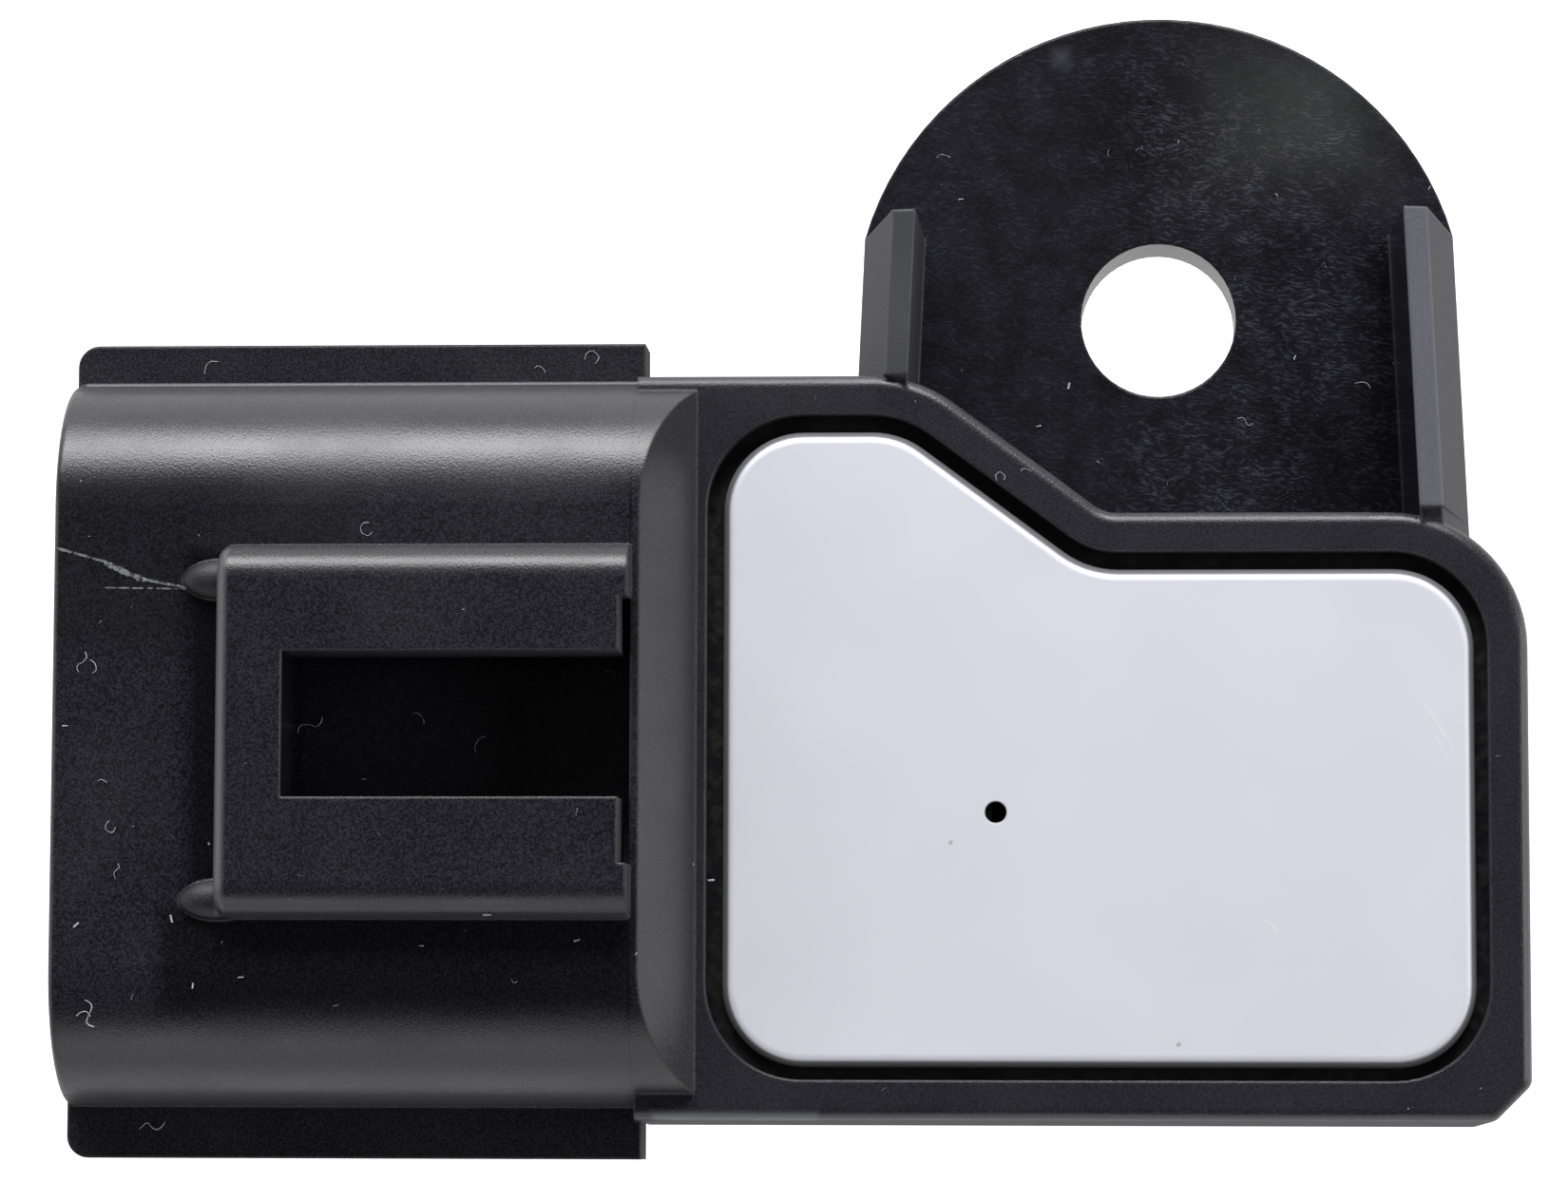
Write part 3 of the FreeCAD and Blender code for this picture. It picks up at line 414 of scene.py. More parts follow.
# The black housing; corners and softness of every zone in mm
housingLook = {
    "plastic": (0.0034, 0.0033, 0.0046),
    "fleck": (0.0225, 0.0208, 0.033),
    "lug": (0.0040, 0.0040, 0.0056),
    "lugCloud": (0.0105, 0.0098, 0.0165),
    "lugShare": 0.75,
    # painted highlight: lighter rib tops, stronger on the right rib
    "leftRibTopHighlight": (0.055, 0.056, 0.064),
    "rightRibTopHighlight": (0.110, 0.113, 0.133),
    "ribHighlightUneven": (0.8, 1.0),
    "streak": (0.058, 0.057, 0.080),
    "streakShare": 0.85,
    "worn": (0.10, 0.10, 0.12),
    "wornShare": 0.35,
    "scratch": (0.38, 0.39, 0.42),
    "scratchShare": 0.45,
    "dust": (0.45, 0.46, 0.50),
    "dustShare": 0.6,
    "grain": {"Size": 0.095, "Clump": 5.0},
    "grainDepth": 0.007,
    "mottle": {"Size": 0.3, "Clump": 1.3},
    "streaks": {"Turn": 0.12, "Width": 0.085, "Length": 0.42, "Bend": 0.8},
    "streakHeight": 0.5,
    "streakLevel": (0.35, 1.2),  # away from its areas, and in them
    "streakMottle": (0.4, 1.4),
    "specks": {"Spacing": 1.6, "Size": 0.045, "Share": 0.16},
    "edgeRound": 0.18,
    "wearReach": 0.25,
    "lugSmooth": 0.7,
    "roughness": (0.30, 0.40),
    "calmRoughness": 0.28,
    "wallRoughness": 0.8,
    "wallRise": (0.15, 0.5),  # upward share of the normal: wall below the first, none above the second
    "lugFace": ((-14, 11, 3.3), (14, 35, 3.6), 0.1),
    "leftRib": ((-14, 17.5, 10.9), (-8.5, 24.6, 11.6), 0.2),
    "rightRib": ((8.5, 12.2, 10.9), (14, 24.6, 11.6), 0.2),
    "calm": ((-46, 4, 13.9), (-39, 13, 14.3), 5.0),
    "streakAreas": {
        "rightOfHole": ((3.0, 13, 3), (8.0, 25, 4), 6.0),
        "beyondHole": ((-0.5, 24.5, 3), (8.0, 30, 4), 6.0),
        "besideBody": ((-1, 12.5, 3), (6, 16.5, 4), 4.0),
    },
    # streaks left out of the painted shade beside the right rib
    "streakShadeGap": ((6.0, 11.5, 3), (11, 17.5, 4), 3.0),
    # tints hold painted shade, painted shadow, painted highlights and a painted reflection, named so, beside
    # the plastic's own marks
    "tints": {
        # lower corner, upper corner, softness, colour, strength
        "lugBloom": ((2.5, 27.8, 3), (8.5, 31.5, 4), 7, (0.034, 0.036, 0.032), 0.75),
        "lugBloomCore": ((5.0, 28.5, 3), (7.5, 31.5, 4), 4, (0.05, 0.052, 0.047), 0.4),
        # painted highlight: pale band along the latch's left edge
        "latchEdge": ((-38.0, -4.5, 15.2), (-37.45, 10.3, 15.95), 0.25, (0.10, 0.10, 0.115), 0.7),
        # painted highlight: pale band on the rim's rounded right edge
        "rimEdgeRightHighlight": ((14.45, -12.0, 10.45), (15.0, 11.0, 10.96), 0.2, (0.055, 0.055, 0.066), 0.8),
        # painted highlight: pale band on the rim's rounded lower edge
        "rimEdgeBelowHighlight": ((-20.5, -12.8, 10.45), (13.6, -12.35, 10.96), 0.2, (0.055, 0.055, 0.066), 0.8),
        # painted shade: dark band on the lug along the right rib's foot
        "lugShadeBesideRib": ((8.9, 11, 3), (10.4, 24.5, 4), 1.8, (0.0015, 0.0015, 0.002), 0.9),
        "lugPaleSpot": ((-4.3, 32.0, 3), (-3.8, 32.5, 4), 0.9, (0.07, 0.072, 0.085), 0.6),
        "lugTip": ((-3.0, 27.5, 3), (1.5, 33.5, 4), 4, (0.0015, 0.0015, 0.0025), 0.6),
        # painted shade: dark corner of the lug between the body and the right rib
        "lugCornerShade": ((5.5, 11.5, 3), (10.6, 17.0, 4), 3.5, (0.0015, 0.0015, 0.002), 0.7),
        # painted shade: darker shroud flat above the latch, towards the mouth
        "shroudCorner": ((-46, 7, 13.7), (-33, 13.0, 14.3), 4, (0.0012, 0.0012, 0.0016), 0.7),
        # painted shadow: dark strip on the shroud beside the latch's left end
        "shadowLeftOfLatch": ((-39.0, -4.5, 13.7), (-37.9, 10, 14.3), 1.2, (0.0008, 0.0008, 0.001), 0.9),
        # painted shadow: the latch's shadow on the shroud below it
        "shadowBelowLatch": ((-40, -8.2, 13.7), (-21.4, -4.5, 14.3), 2.0, (0.0008, 0.0008, 0.001), 0.9),
        "lugDarkSpot": ((-0.45, 30.15, 3), (-0.2, 30.45, 4), 0.2, (0.001, 0.001, 0.001), 0.9),
        # painted reflection: lighter blue-grey sheen on the sloped step
        "stepSheen": ((-21.0, -12.2, 11.05), (-18.93, 17.3, 14.3), 0.4, (0.011, 0.0135, 0.0155), 0.25),
        "seam": ((-21.43, -12.1, 11.1), (-21.33, 17.4, 14.4), 0.06, (0.003, 0.003, 0.003), 1.0),
        # painted highlight: pale line along the crease between rail and shroud
        "railCreaseHighlight": ((-44.4, 17.5, 9.0), (-21.3, 17.72, 9.5), 0.06, (0.17, 0.17, 0.19), 0.7),
        "rubbedRim": ((-20.6, -13.0, 10.3), (-14.0, -12.3, 10.95), 0.5, (0.16, 0.165, 0.18), 0.6),
        "rimTop": ((-18.8, -13.3, 10.97), (15.0, 17.5, 11.03), 0.05, (0.020, 0.0195, 0.026), 0.4),
    },
    "roughnessZones": {
        # lower corner, upper corner, softness, roughness
        "holeWall": ((-3.4, 17.6, 0.1), (3.4, 24.4, 3.4), 0.1, 0.42),
        "upperEar": ((-39.8, 7.9, 14.15), (-37.95, 10.2, 15.2), 0.1, 0.55),
        "lowerEar": ((-39.8, -5.1, 14.15), (-37.95, -2.7, 15.2), 0.1, 0.55),
        "rightRibWall": ((8.4, 11.5, 3.6), (10.6, 24.6, 10.9), 0.3, 0.12),
        "windowWall": ((-35.3, 0.1, 10.4), (-35.1, 6.1, 15.7), 0.06, 0.12),
        "shadowLeftOfLatch": ((-39.4, -4.5, 14.05), (-37.9, 10, 14.15), 1.2, 0.15),
        "shadowBelowLatch": ((-40, -8.2, 14.05), (-21.4, -4.5, 14.15), 1.5, 0.15),
        "lugShadeBesideRib": ((5.5, 11.5, 3.4), (10.6, 24.0, 3.6), 3.5, 0.15),
    },
    "scratches": (
        # start, end, width
        ((-44.6, 10.34, 14.1), (-42.4, 9.72, 14.1), 0.12),
        ((-42.6, 9.70, 14.1), (-41.1, 9.06, 14.1), 0.24),
        ((-41.2, 9.10, 14.1), (-39.2, 8.70, 14.1), 0.11),
        ((-42.6, 8.74, 14.1), (-39.3, 8.68, 14.1), 0.07),
    ),
}


# How strongly the lug's streaks show, by area and by the mottle, and none in the painted shade beside the
# right rib
def streakStrength(tree, place, look, mottle):
    areas = anyZone(tree, place, look["streakAreas"].values())
    gap = zone(tree, place, *look["streakShadeGap"])
    areas = arithmetic(tree, "SUBTRACT", areas, gap, clamp=True)
    level = remap(tree, areas, 0, 1, *look["streakLevel"])
    return arithmetic(tree, "MULTIPLY", level, remap(tree, mottle, 0, 1, *look["streakMottle"]))


def housingRoughness(tree, place, look, grain, lugFace, plain):
    rough = remap(tree, grain["Cloud"], 0, 1, *look["roughness"])
    calm = arithmetic(tree, "MAXIMUM", lugFace, zone(tree, place, *look["calm"]))
    rough = blendValues(tree, calm, rough, look["calmRoughness"])
    rise = arithmetic(tree, "ABSOLUTE", separate(tree, plain)[2])
    wall = remap(tree, rise, *look["wallRise"], 1.0, 0.0, "SMOOTHSTEP")
    rough = blendValues(tree, wall, rough, look["wallRoughness"])
    for low, high, soft, level in look["roughnessZones"].values():
        rough = blendValues(tree, zone(tree, place, low, high, soft), rough, level)
    return rough


def makeHousingMaterial():
    look = housingLook
    material, tree, shader, place = newMaterial("housingPlastic")
    grain = useGroup(tree, grainGroup, Position=place, **look["grain"])
    mottle = useGroup(tree, grainGroup, Position=place, **look["mottle"])["Cloud"]
    streaks = useGroup(tree, streakGroup, Position=place, **look["streaks"])["Mask"]
    rounded = roundedNormal(tree, look["edgeRound"])
    plain = tree.nodes.new("ShaderNodeNewGeometry").outputs["True Normal"]
    lugFace = zone(tree, place, *look["lugFace"])
    leftRib = zone(tree, place, *look["leftRib"])
    rightRib = zone(tree, place, *look["rightRib"])
    strength = arithmetic(tree, "MULTIPLY", lugFace, streakStrength(tree, place, look, mottle))
    streakMask = arithmetic(tree, "MULTIPLY", streaks, strength)

    colour = blendColours(tree, grain["Fleck"], look["plastic"], look["fleck"])
    lugPaint = blendColours(tree, mottle, look["lug"], look["lugCloud"])
    colour = blendColours(tree, arithmetic(tree, "MULTIPLY", lugFace, look["lugShare"]), colour, lugPaint)
    # the plastic's own marks, and painted shade and painted highlights where the tint rows name them
    colour = tint(tree, place, colour, look["tints"].values())
    streakPaint = arithmetic(tree, "MULTIPLY", streakMask, look["streakShare"], clamp=True)
    colour = blendColours(tree, streakPaint, colour, look["streak"])
    # painted highlight on the rib tops, lighter on the right rib and uneven with the grain
    uneven = remap(tree, grain["Fleck"], 0, 1, *look["ribHighlightUneven"])
    for rib, top in ((leftRib, "leftRibTopHighlight"), (rightRib, "rightRibTopHighlight")):
        colour = blendColours(tree, arithmetic(tree, "MULTIPLY", rib, uneven), colour, look[top])
    edges = {"Rounded": rounded, "Plain": plain, "Reach": look["wearReach"]}
    worn = useGroup(tree, edgeGroup, Position=place, **edges)["Mask"]
    colour = blendColours(tree, arithmetic(tree, "MULTIPLY", worn, look["wornShare"]), colour, look["worn"])
    colour = scratched(tree, place, colour, look["scratches"], look["scratch"], look["scratchShare"])
    colour = specked(tree, place, colour, look["specks"], look["dust"], look["dustShare"])
    tree.links.new(colour, shader.inputs["Base Color"])
    rough = housingRoughness(tree, place, look, grain, lugFace, plain)
    tree.links.new(rough, shader.inputs["Roughness"])

    # the grain is left off the rib tops and weaker on the lug
    ribTop = arithmetic(tree, "MAXIMUM", leftRib, rightRib)
    smooth = arithmetic(tree, "MAXIMUM", ribTop, arithmetic(tree, "MULTIPLY", lugFace, look["lugSmooth"]))
    height = arithmetic(tree, "MULTIPLY", grain["Height"], arithmetic(tree, "SUBTRACT", 1.0, smooth))
    streakRelief = arithmetic(tree, "MULTIPLY", streakMask, look["streakHeight"])
    height = arithmetic(tree, "ADD", height, streakRelief)
    relief(tree, shader, height, look["grainDepth"], rounded)
    return material


# The light metal lid
lidLook = {
    "metal": (0.825, 0.82, 0.905),
    "cloud": (0.81, 0.81, 0.89),
    "cloudShare": 0.35,
    "speck": (0.30, 0.31, 0.33),
    "speckShare": 0.6,
    "scratch": (0.95, 0.95, 0.97),
    "scratchShare": 0.8,
    # painted shade: dark colour of the rolled edge
    "edge": (0.10, 0.10, 0.11),
    "edgeShadeRise": (0.80, 0.985),  # upward share of the normal: edge below the first, top above the second
    "edgeRoughness": 0.6,
    "edgeRound": 0.1,  # mm
    "metallic": 0.45,
    "roughness": (0.44, 0.47),
    "grain": {"Size": 0.07, "Clump": 6.0},
    "grainDepth": 0.0006,  # mm
    "specks": {"Spacing": 4.5, "Size": 0.10, "Share": 0.25},
    "scratches": (
        # start, end, width
        ((10.58, 4.25, 10.95), (11.71, 2.33, 10.95), 0.07),
        ((10.9, 3.1, 10.95), (11.5, 1.9, 10.95), 0.05),
        ((4.1, -4.5, 10.95), (4.6, -4.9, 10.95), 0.08),
    ),
}


def makeLidMaterial():
    look = lidLook
    material, tree, shader, place = newMaterial("lidMetal")
    grain = useGroup(tree, grainGroup, Position=place, **look["grain"])
    clouded = arithmetic(tree, "MULTIPLY", grain["Cloud"], look["cloudShare"])
    colour = blendColours(tree, clouded, look["metal"], look["cloud"])
    colour = specked(tree, place, colour, look["specks"], look["speck"], look["speckShare"])
    colour = scratched(tree, place, colour, look["scratches"], look["scratch"], look["scratchShare"])

    # the rolled edge gets painted shade: its colour falls off to dark and its metallic sheen drops as it
    # turns away from up
    rounded = roundedNormal(tree, look["edgeRound"])
    edge = remap(tree, separate(tree, rounded)[2], *look["edgeShadeRise"], 1.0, 0.0, "SMOOTHSTEP")
    rough = remap(tree, grain["Cloud"], 0, 1, *look["roughness"])
    tree.links.new(blendColours(tree, edge, colour, look["edge"]), shader.inputs["Base Color"])
    tree.links.new(blendValues(tree, edge, look["metallic"], 0.0), shader.inputs["Metallic"])
    tree.links.new(blendValues(tree, edge, rough, look["edgeRoughness"]), shader.inputs["Roughness"])
    relief(tree, shader, grain["Height"], look["grainDepth"], rounded)
    return material


# The other materials, by slot: grain, clump and depth in mm, and any further socket of the shader
plainLooks = {
    "sealant": {
        "name": "sealant", "colour": (0.004, 0.004, 0.005), "second": (0.008, 0.008, 0.009),
        "size": 0.5, "clump": 2.0, "depth": 0.02, "roughness": (0.35, 0.5)},
    "terminal_metal": {
        "name": "terminalTin", "colour": (0.62, 0.60, 0.56), "second": (0.52, 0.50, 0.47),
        "size": 0.08, "clump": 0.8, "depth": 0.002, "roughness": (0.22, 0.36), "Metallic": 1.0},
    "solder": {
        "name": "solder", "colour": (0.66, 0.67, 0.69), "second": (0.5, 0.51, 0.53),
        "size": 0.1, "clump": 0.5, "depth": 0.006, "roughness": (0.15, 0.35), "Metallic": 1.0},
    "board_laminate": {
        "name": "boardLaminate", "colour": (0.012, 0.12, 0.05), "second": (0.02, 0.17, 0.07),
        "size": 0.12, "clump": 1.6, "depth": 0.003, "roughness": (0.3, 0.42)},
    "adhesive": {
        "name": "adhesive", "colour": (0.33, 0.33, 0.34), "second": (0.26, 0.26, 0.27),
        "size": 0.2, "clump": 1.0, "depth": 0.01, "roughness": (0.4, 0.55)},
    "pedestal_glass": {
        "name": "pedestalGlass", "colour": (0.85, 0.92, 0.9), "second": (0.8, 0.88, 0.86),
        "size": 0.2, "clump": 1.0, "depth": 0.001, "roughness": (0.04, 0.10), "Transmission Weight": 0.9},
    "silicon": {
        "name": "silicon", "colour": (0.2, 0.21, 0.24), "second": (0.15, 0.16, 0.2),
        "size": 0.1, "clump": 0.4, "depth": 0.0005, "roughness": (0.10, 0.2), "Metallic": 0.6},
    "wire_metal": {
        "name": "bondWire", "colour": (0.85, 0.85, 0.86), "second": (0.75, 0.75, 0.77),
        "size": 0.05, "clump": 0.3, "depth": 0.0005, "roughness": (0.15, 0.25), "Metallic": 1.0},
    "wall_plastic": {
        "name": "gelWall", "colour": (0.05, 0.05, 0.055), "second": (0.04, 0.04, 0.045),
        "size": 0.1, "clump": 1.0, "depth": 0.004, "roughness": (0.4, 0.55)},
    "gel": {
        "name": "protectiveGel", "colour": (0.85, 0.88, 0.92), "second": (0.8, 0.84, 0.88),
        "size": 0.5, "clump": 2.0, "depth": 0.002, "roughness": (0.03, 0.08), "Transmission Weight": 0.9},
    "package_plastic": {
        "name": "chipPackage", "colour": (0.018, 0.018, 0.02), "second": (0.026, 0.026, 0.028),
        "size": 0.08, "clump": 0.8, "depth": 0.004, "roughness": (0.45, 0.6)},
    "lead_metal": {
        "name": "leadTin", "colour": (0.62, 0.62, 0.63), "second": (0.5, 0.5, 0.52),
        "size": 0.06, "clump": 0.4, "depth": 0.001, "roughness": (0.2, 0.35), "Metallic": 1.0},
    "capacitor_ceramic": {
        "name": "capacitorCeramic", "colour": (0.36, 0.22, 0.12), "second": (0.3, 0.18, 0.1),
        "size": 0.08, "clump": 0.5, "depth": 0.003, "roughness": (0.35, 0.5)},
    "resistor_ceramic": {
        "name": "resistorCeramic", "colour": (0.03, 0.03, 0.034), "second": (0.05, 0.05, 0.055),
        "size": 0.08, "clump": 0.5, "depth": 0.003, "roughness": (0.3, 0.45)},
    "ring_rubber": {
        "name": "ringRubber", "colour": (0.012, 0.012, 0.013), "second": (0.018, 0.018, 0.019),
        "size": 0.15, "clump": 1.5, "depth": 0.004, "roughness": (0.38, 0.5)},
}


def makePlainMaterial(name, colour, second, size, clump, depth, roughness, **sockets):
    material, tree, shader, place = newMaterial(name)
    grain = useGroup(tree, grainGroup, Position=place, Size=size, Clump=clump)
    tree.links.new(blendColours(tree, grain["Cloud"], colour, second), shader.inputs["Base Color"])
    tree.links.new(remap(tree, grain["Fleck"], 0, 1, *roughness), shader.inputs["Roughness"])
    relief(tree, shader, grain["Height"], depth)
    for socket, value in sockets.items():
        shader.inputs[socket].default_value = value
    return material


def dressNodes():
    materials = {"housing_plastic": makeHousingMaterial(), "lid_metal": makeLidMaterial()}
    for slot, look in plainLooks.items():
        materials[slot] = makePlainMaterial(**look)
    slots = {item["node"]: item["material_slot"] for item in frame["record"]["subparts"]}
    for node, item in frame["nodes"].items():
        for slot in item.material_slots:
            slot.material = materials[slots[node]]


dressNodes()
print("materials made")

# Tracks on the circuit board, under its green mask; all in mm
boardTracks = {
    "width": 0.36,
    "height": 0.035,
    "mask": {
        "name": "trackMask", "colour": (0.03, 0.24, 0.1), "second": (0.04, 0.3, 0.12),
        "size": 0.12, "clump": 1.2, "depth": 0.002, "roughness": (0.25, 0.38)},
    "paths": (
        ((-12.0, 7.78), (-11.3, 8.4), (-10.5, 8.4)),
        ((-12.0, 2.78), (-11.3, 3.4), (-10.5, 3.4)),
        ((-12.0, -2.22), (-11.0, -2.22), (-11.0, 0.6), (-9.8, 0.6)),
        ((-8.7, 8.4), (-6.6, 8.4), (-6.6, 1.0)),
        ((-8.7, 5.9), (-7.6, 5.9), (-7.6, 1.0)),
        ((-8.7, 3.4), (-8.3, 3.4), (-8.3, 1.0)),
        ((-5.8, 0.7), (-5.8, 2.6), (-4.6, 2.6)),
        ((-5.8, -5.1), (-5.8, -5.9), (-2.0, -5.9), (-2.0, -4.6)),
        ((-8.4, -5.1), (-8.4, -6.7), (2.0, -6.7), (2.0, -4.6)),
        ((6.5, 1.2), (4.6, 1.2)),
        ((7.9, 1.2), (9.0, 1.2), (9.0, 3.2), (7.9, 3.2)),
        ((6.5, 3.2), (4.6, 3.2)),
    ),
}
barFaces = ((4, 5, 6, 7), (3, 2, 1, 0), (0, 1, 5, 4), (1, 2, 6, 5), (2, 3, 7, 6), (3, 0, 4, 7))


def makeTracks():
    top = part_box("circuit_board")[1].z
    half, high = boardTracks["width"] / 2, boardTracks["height"] * mm
    points, faces = [], []
    for path in boardTracks["paths"]:
        for start, end in zip(path, path[1:]):
            a, b = Vector(start), Vector(end)
            way = (b - a).normalized() * half
            side = Vector((-way.y, way.x))
            corners = (a - way - side, b + way - side, b + way + side, a - way + side)
            first = len(points)
            points += [(corner.x * mm, corner.y * mm, top + z) for z in (0, high) for corner in corners]
            faces += [[first + index for index in face] for face in barFaces]
    mesh = bpy.data.meshes.new("boardTracks")
    mesh.from_pydata(points, [], faces)
    mesh.materials.append(makePlainMaterial(**boardTracks["mask"]))
    tracks = bpy.data.objects.new("boardTracks", mesh)
    scene.collection.objects.link(tracks)
    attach(tracks, "root")


makeTracks()
print("board tracks made")

# Lint: fibres and flecks at the places seen in the photo, and finer ones scattered on the upper faces
lint = {
    "density": 60000.0,  # per square metre
    "seed": 11,
    "size": (0.06, 0.26),  # mm, of the scattered ones
    "lift": 0.02,  # mm
    "wander": 0.22,  # mm
    "wanderScale": 2600.0,  # per metre
    "facing": 0.95,  # least upward share of a face's normal
    "rimAbove": 10.9,  # mm
    "lugBetween": (3.45, 3.55),  # mm
    "lugFrom": 12.5,  # mm
    "forms": (0.0, 2.6),  # the scattered ones are flecks, arcs and fewer bends
    "firstDraw": 5,  # seed of the scattered fibres' lengths, with those of turn and form after it
    "thickness": {"fleck": 0.11, "arc": 0.026, "bend": 0.022, "curl": 0.022},  # of the length
    "fibre": {
        "name": "lintFibre", "colour": (0.42, 0.43, 0.47), "second": (0.30, 0.31, 0.35),
        "size": 0.05, "clump": 0.4, "depth": 0.002, "roughness": (0.7, 0.9)},
    "placed": (
        # x, y, z, length in mm, turn in degrees, form (0 fleck, 1 arc, 2 bend, 3 curl)
        (-43.51, 5.73, 14.1, 0.7, 60, 2), (-43.3, 5.5, 14.1, 0.6, -50, 1),
        (-42.66, 0.74, 14.1, 0.4, 20, 1), (-42.25, -0.92, 14.1, 0.6, 110, 3),
        (-41.97, -2.7, 14.1, 0.5, 70, 2), (-39.76, -4.6, 14.1, 0.4, 100, 0),
        (-43.04, -8.4, 13.9, 1.0, 100, 2), (-43.3, -8.7, 13.8, 0.6, 30, 1),
        (-43.6, -4.86, 14.1, 0.4, 45, 0), (-44.19, 3.12, 14.1, 0.3, 0, 0),
        (-38.83, -7.26, 14.1, 0.3, 90, 0), (-32.01, 11.09, 14.1, 0.8, 80, 3),
        (-32.59, 12.81, 13.75, 0.7, -30, 1), (-23.4, 18.71, 9.1, 0.8, -60, 3),
        (-39.05, 18.25, 9.1, 0.7, 80, 1), (-25.62, 18.07, 9.1, 0.5, 10, 1),
        (-41.26, -12.9, 9.1, 0.9, 5, 2), (-34.74, 3.43, 10.4, 1.0, 20, 2),
        (-30.45, 3.56, 10.4, 0.6, -15, 1), (-27.51, 2.52, 10.4, 0.8, 90, 1),
        (-22.55, 5.36, 10.4, 0.5, 5, 1), (-32.51, 1.23, 10.4, 0.3, 0, 0),
        (-26.91, -4.45, 15.1, 0.4, 0, 0), (-23.44, -5.47, 14.1, 0.35, 0, 0),
        (-29.67, -5.68, 14.1, 0.3, 0, 0), (-36.92, -6.96, 14.1, 0.3, 0, 0),
        (-18.28, -2.93, 11.0, 0.3, 0, 0), (-3.76, 18.21, 3.5, 0.45, 80, 0),
        (-5.02, 16.52, 3.5, 0.3, 0, 0), (3.61, 16.67, 3.5, 0.6, -25, 2),
        (8.49, 17.96, 3.5, 0.6, 15, 1), (-6.56, 13.47, 11.0, 0.6, -40, 3),
        (-5.53, 13.56, 11.0, 0.4, 30, 1), (5.71, 19.38, 3.5, 0.3, 60, 0),
        (-8.29, 26.19, 3.5, 0.3, 20, 0), (-9.06, 27.82, 3.5, 0.5, 30, 1),
    ),
}


# The four forms of a fibre, about a metre long, as instances in the order of their numbers
def makeFibreForms(tree):
    curves = {
        "fleck": add(tree, "GeometryNodeCurvePrimitiveLine", {"Start": (-0.35, 0, 0), "End": (0.35, 0, 0)}),
        "arc": add(tree, "GeometryNodeCurveArc", {"Resolution": 9, "Radius": 0.6, "Sweep Angle": 2.0}),
        "bend": add(tree, "GeometryNodeCurvePrimitiveBezierSegment",
                    {"Resolution": 10, "Start": (-0.6, -0.1, 0), "Start Handle": (-0.1, 0.7, 0),
                     "End Handle": (0.1, -0.7, 0.1), "End": (0.6, 0.15, 0)}),
        "curl": add(tree, "GeometryNodeCurveArc", {"Resolution": 12, "Radius": 0.35, "Sweep Angle": 4.4}),
    }
    forms = tree.nodes.new("GeometryNodeJoinGeometry")
    for form in ("curl", "bend", "arc", "fleck"):  # the last one linked comes first
        thick = lint["thickness"][form]
        ring = add(tree, "GeometryNodeCurvePrimitiveCircle", {"Resolution": 5, "Radius": thick})
        tube = add(tree, "GeometryNodeCurveToMesh", {"Curve": curves[form].outputs[0], "Fill Caps": True,
                                                     "Profile Curve": ring.outputs[0]})
        instance = add(tree, "GeometryNodeGeometryToInstance", {0: tube.outputs[0]})
        tree.links.new(instance.outputs[0], forms.inputs[0])
    return forms.outputs[0]


# Upward faces of the rim, shroud and latch housing, and of the lug at its own height
def bareFaces(tree):
    def above(kind, axis, level):
        return arithmetic(tree, "GREATER_THAN", separate(tree, tree.nodes.new(kind).outputs[0])[axis], level)

    position = "GeometryNodeInputPosition"
    lowest, highest = lint["lugBetween"]
    notHigher = arithmetic(tree, "SUBTRACT", 1.0, above(position, 2, highest * mm))
    lug = arithmetic(tree, "MULTIPLY", above(position, 2, lowest * mm), notHigher)
    lug = arithmetic(tree, "MULTIPLY", lug, above(position, 1, lint["lugFrom"] * mm))
    bare = arithmetic(tree, "MAXIMUM", above(position, 2, lint["rimAbove"] * mm), lug)
    return arithmetic(tree, "MULTIPLY", bare, above("GeometryNodeInputNormal", 2, lint["facing"]))


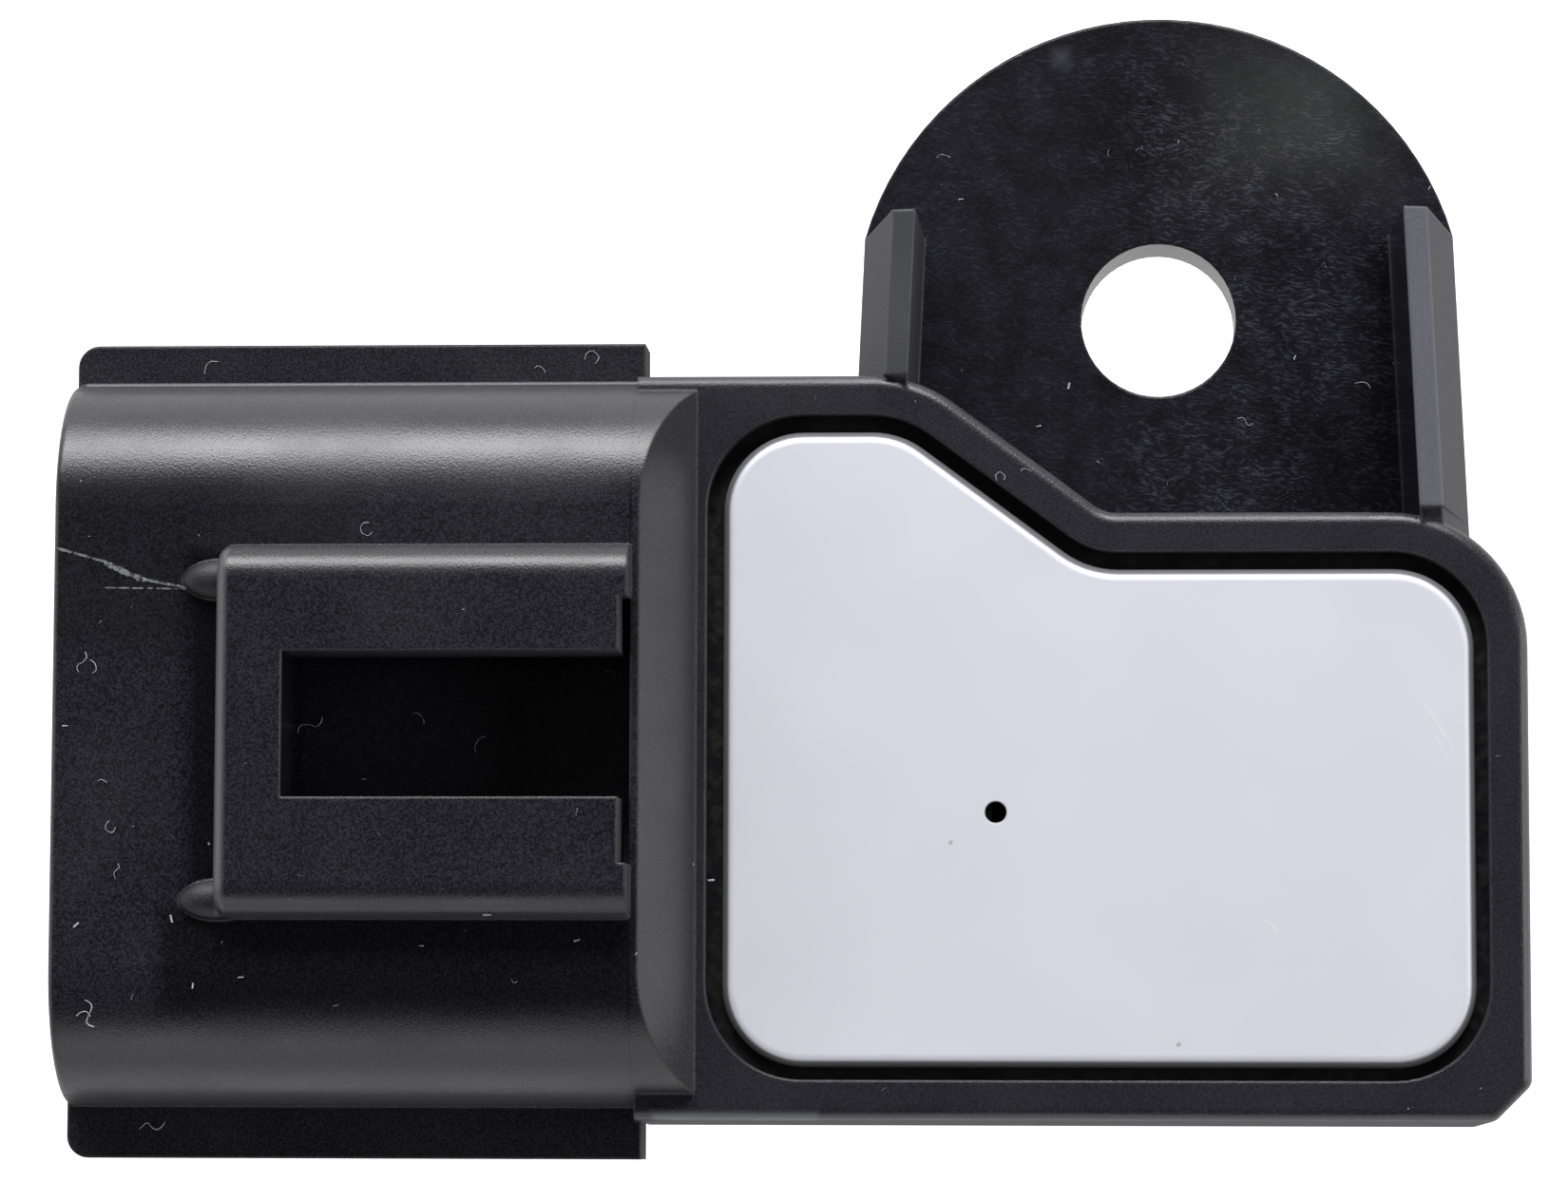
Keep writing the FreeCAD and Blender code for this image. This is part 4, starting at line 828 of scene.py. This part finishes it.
def makeLintTree(material):
    tree = bpy.data.node_groups.new("lintFibres", "GeometryNodeTree")
    inputs = {
        "Placed": "NodeSocketGeometry", "Surface": "NodeSocketObject", "Density": number,
        "Seed": "NodeSocketInt", "Smallest": number, "Largest": number, "Lift": number, "Wander": number}
    for label, kind in inputs.items():
        tree.interface.new_socket(label, in_out="INPUT", socket_type=kind)
    tree.interface.new_socket("Lint", in_out="OUTPUT", socket_type="NodeSocketGeometry")
    given = tree.nodes.new("NodeGroupInput").outputs

    def named(label):
        node = add(tree, "GeometryNodeInputNamedAttribute", {"Name": label}, data_type="FLOAT")
        return next(socket for socket in node.outputs if socket.enabled and socket.name == "Attribute")

    surface = add(tree, "GeometryNodeObjectInfo", {"Object": given["Surface"]}, transform_space="RELATIVE")
    scattered = add(tree, "GeometryNodeDistributePointsOnFaces",
                    {"Mesh": surface.outputs["Geometry"], "Selection": bareFaces(tree),
                     "Density": given["Density"], "Seed": given["Seed"]})
    points = scattered.outputs["Points"]
    lengths = given["Smallest"], given["Largest"]
    draws = {"length": lengths, "turn": (0.0, 2 * math.pi), "form": lint["forms"]}
    for seed, (label, (least, most)) in enumerate(draws.items(), lint["firstDraw"]):
        chance = add(tree, "FunctionNodeRandomValue", {2: least, 3: most, "Seed": seed}, data_type="FLOAT")
        store = add(tree, "GeometryNodeStoreNamedAttribute", {"Geometry": points, "Name": label,
                                                              "Value": chance.outputs[1]}, data_type="FLOAT")
        points = store.outputs[0]
    placed = add(tree, "GeometryNodeMeshToPoints", {"Mesh": given["Placed"]})
    both = tree.nodes.new("GeometryNodeJoinGeometry")
    tree.links.new(points, both.inputs[0])
    tree.links.new(placed.outputs[0], both.inputs[0])

    turn = add(tree, "ShaderNodeCombineXYZ", {2: named("turn")})
    form = add(tree, "FunctionNodeFloatToInt", {0: named("form")}, rounding_mode="FLOOR")
    spots = add(tree, "GeometryNodeInstanceOnPoints",
                {"Points": both.outputs[0], "Instance": makeFibreForms(tree), "Pick Instance": True,
                 "Instance Index": form.outputs[0], "Rotation": turn.outputs[0], "Scale": named("length")})
    real = add(tree, "GeometryNodeRealizeInstances", {0: spots.outputs[0]})

    # each fibre wanders sideways and lies a little above the face
    place = tree.nodes.new("GeometryNodeInputPosition").outputs[0]
    sideways = separate(tree, noise(tree, place, lint["wanderScale"], 1.0)["Color"])
    shift = [arithmetic(tree, "MULTIPLY", arithmetic(tree, "SUBTRACT", sideways[axis], 0.5), given["Wander"])
             for axis in (0, 1)]
    offset = add(tree, "ShaderNodeCombineXYZ", {0: shift[0], 1: shift[1], 2: given["Lift"]})
    lifted = add(tree, "GeometryNodeSetPosition", {"Geometry": real.outputs[0], "Offset": offset.outputs[0]})
    dressed = add(tree, "GeometryNodeSetMaterial", {"Geometry": lifted.outputs[0], "Material": material})
    add(tree, "NodeGroupOutput", {0: dressed.outputs[0]})
    return tree


def makeLint():
    rows = lint["placed"]
    mesh = bpy.data.meshes.new("lintPlaces")
    mesh.from_pydata([Vector(row[:3]) * mm for row in rows], [], [])
    columns = {
        "length": [row[3] * mm for row in rows],
        "turn": [math.radians(row[4]) for row in rows],
        "form": [row[5] + 0.5 for row in rows],  # rounded down in the tree
    }
    for label, values in columns.items():
        mesh.attributes.new(label, "FLOAT", "POINT").data.foreach_set("value", values)
    item = bpy.data.objects.new("lint", mesh)
    scene.collection.objects.link(item)
    modifier = item.modifiers.new("lintFibres", "NODES")
    modifier.node_group = makeLintTree(makePlainMaterial(**lint["fibre"]))
    smallest, largest = lint["size"]
    values = {"Surface": frame["nodes"]["housing"], "Density": lint["density"], "Seed": lint["seed"],
              "Smallest": smallest * mm, "Largest": largest * mm, "Lift": lint["lift"] * mm,
              "Wander": lint["wander"] * mm}
    for socket in modifier.node_group.interface.items_tree:
        if socket.name in values:
            modifier[socket.identifier] = values[socket.name]
    evaluated = item.evaluated_get(bpy.context.evaluated_depsgraph_get())
    made = bpy.data.meshes.new_from_object(evaluated)
    item.modifiers.clear()
    item.data = made
    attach(item, "root")
    print("lint made:", len(made.polygons), "faces")


makeLint()

# Floor: white to the camera, with the object's soft shadow left on it
floorLook = {"half": 1.5, "gap": 0.0002, "paint": (0.5, 0.5, 0.5, 1), "glow": 0.9}  # lengths in metres


def makeFloor():
    half, low = floorLook["half"], cadBox[0][2] - floorLook["gap"]
    corners = [(-half, -half, low), (half, -half, low), (half, half, low), (-half, half, low)]
    mesh = bpy.data.meshes.new("floor")
    mesh.from_pydata(corners, [], [(0, 1, 2, 3)])
    floor = bpy.data.objects.new("floor", mesh)
    scene.collection.objects.link(floor)
    material = bpy.data.materials.new("whiteFloor")
    material.use_nodes = True
    tree = material.node_tree
    tree.nodes.clear()
    paint = add(tree, "ShaderNodeBsdfDiffuse", {"Color": floorLook["paint"]})
    rays = tree.nodes.new("ShaderNodeLightPath").outputs
    mirrored = arithmetic(tree, "MAXIMUM", rays["Is Glossy Ray"], rays["Is Transmission Ray"])
    seen = arithmetic(tree, "MAXIMUM", rays["Is Camera Ray"], mirrored)
    strength = arithmetic(tree, "MULTIPLY", seen, floorLook["glow"])
    glow = add(tree, "ShaderNodeEmission", {"Color": (1, 1, 1, 1), "Strength": strength})
    both = add(tree, "ShaderNodeAddShader", {0: paint.outputs[0], 1: glow.outputs[0]})
    add(tree, "ShaderNodeOutputMaterial", {"Surface": both.outputs[0]})
    mesh.materials.append(material)


makeFloor()

# World: pale at the horizon, nearly black overhead
worldLook = {"horizon": 1.0, "overhead": 0.03, "height": 0.7}


def makeWorld():
    world = bpy.data.worlds.new("studio")
    world.use_nodes = True
    tree = world.node_tree
    tree.nodes.clear()
    direction = tree.nodes.new("ShaderNodeTexCoord").outputs["Generated"]
    height = separate(tree, direction)[2]
    levels = worldLook["horizon"], worldLook["overhead"]
    light = remap(tree, height, 0.0, worldLook["height"], *levels, "SMOOTHSTEP")
    backdrop = add(tree, "ShaderNodeBackground", {"Color": (1, 1, 1, 1), "Strength": light})
    add(tree, "ShaderNodeOutputWorld", {"Surface": backdrop.outputs[0]})
    scene.world = world


makeWorld()
print("floor and light made")
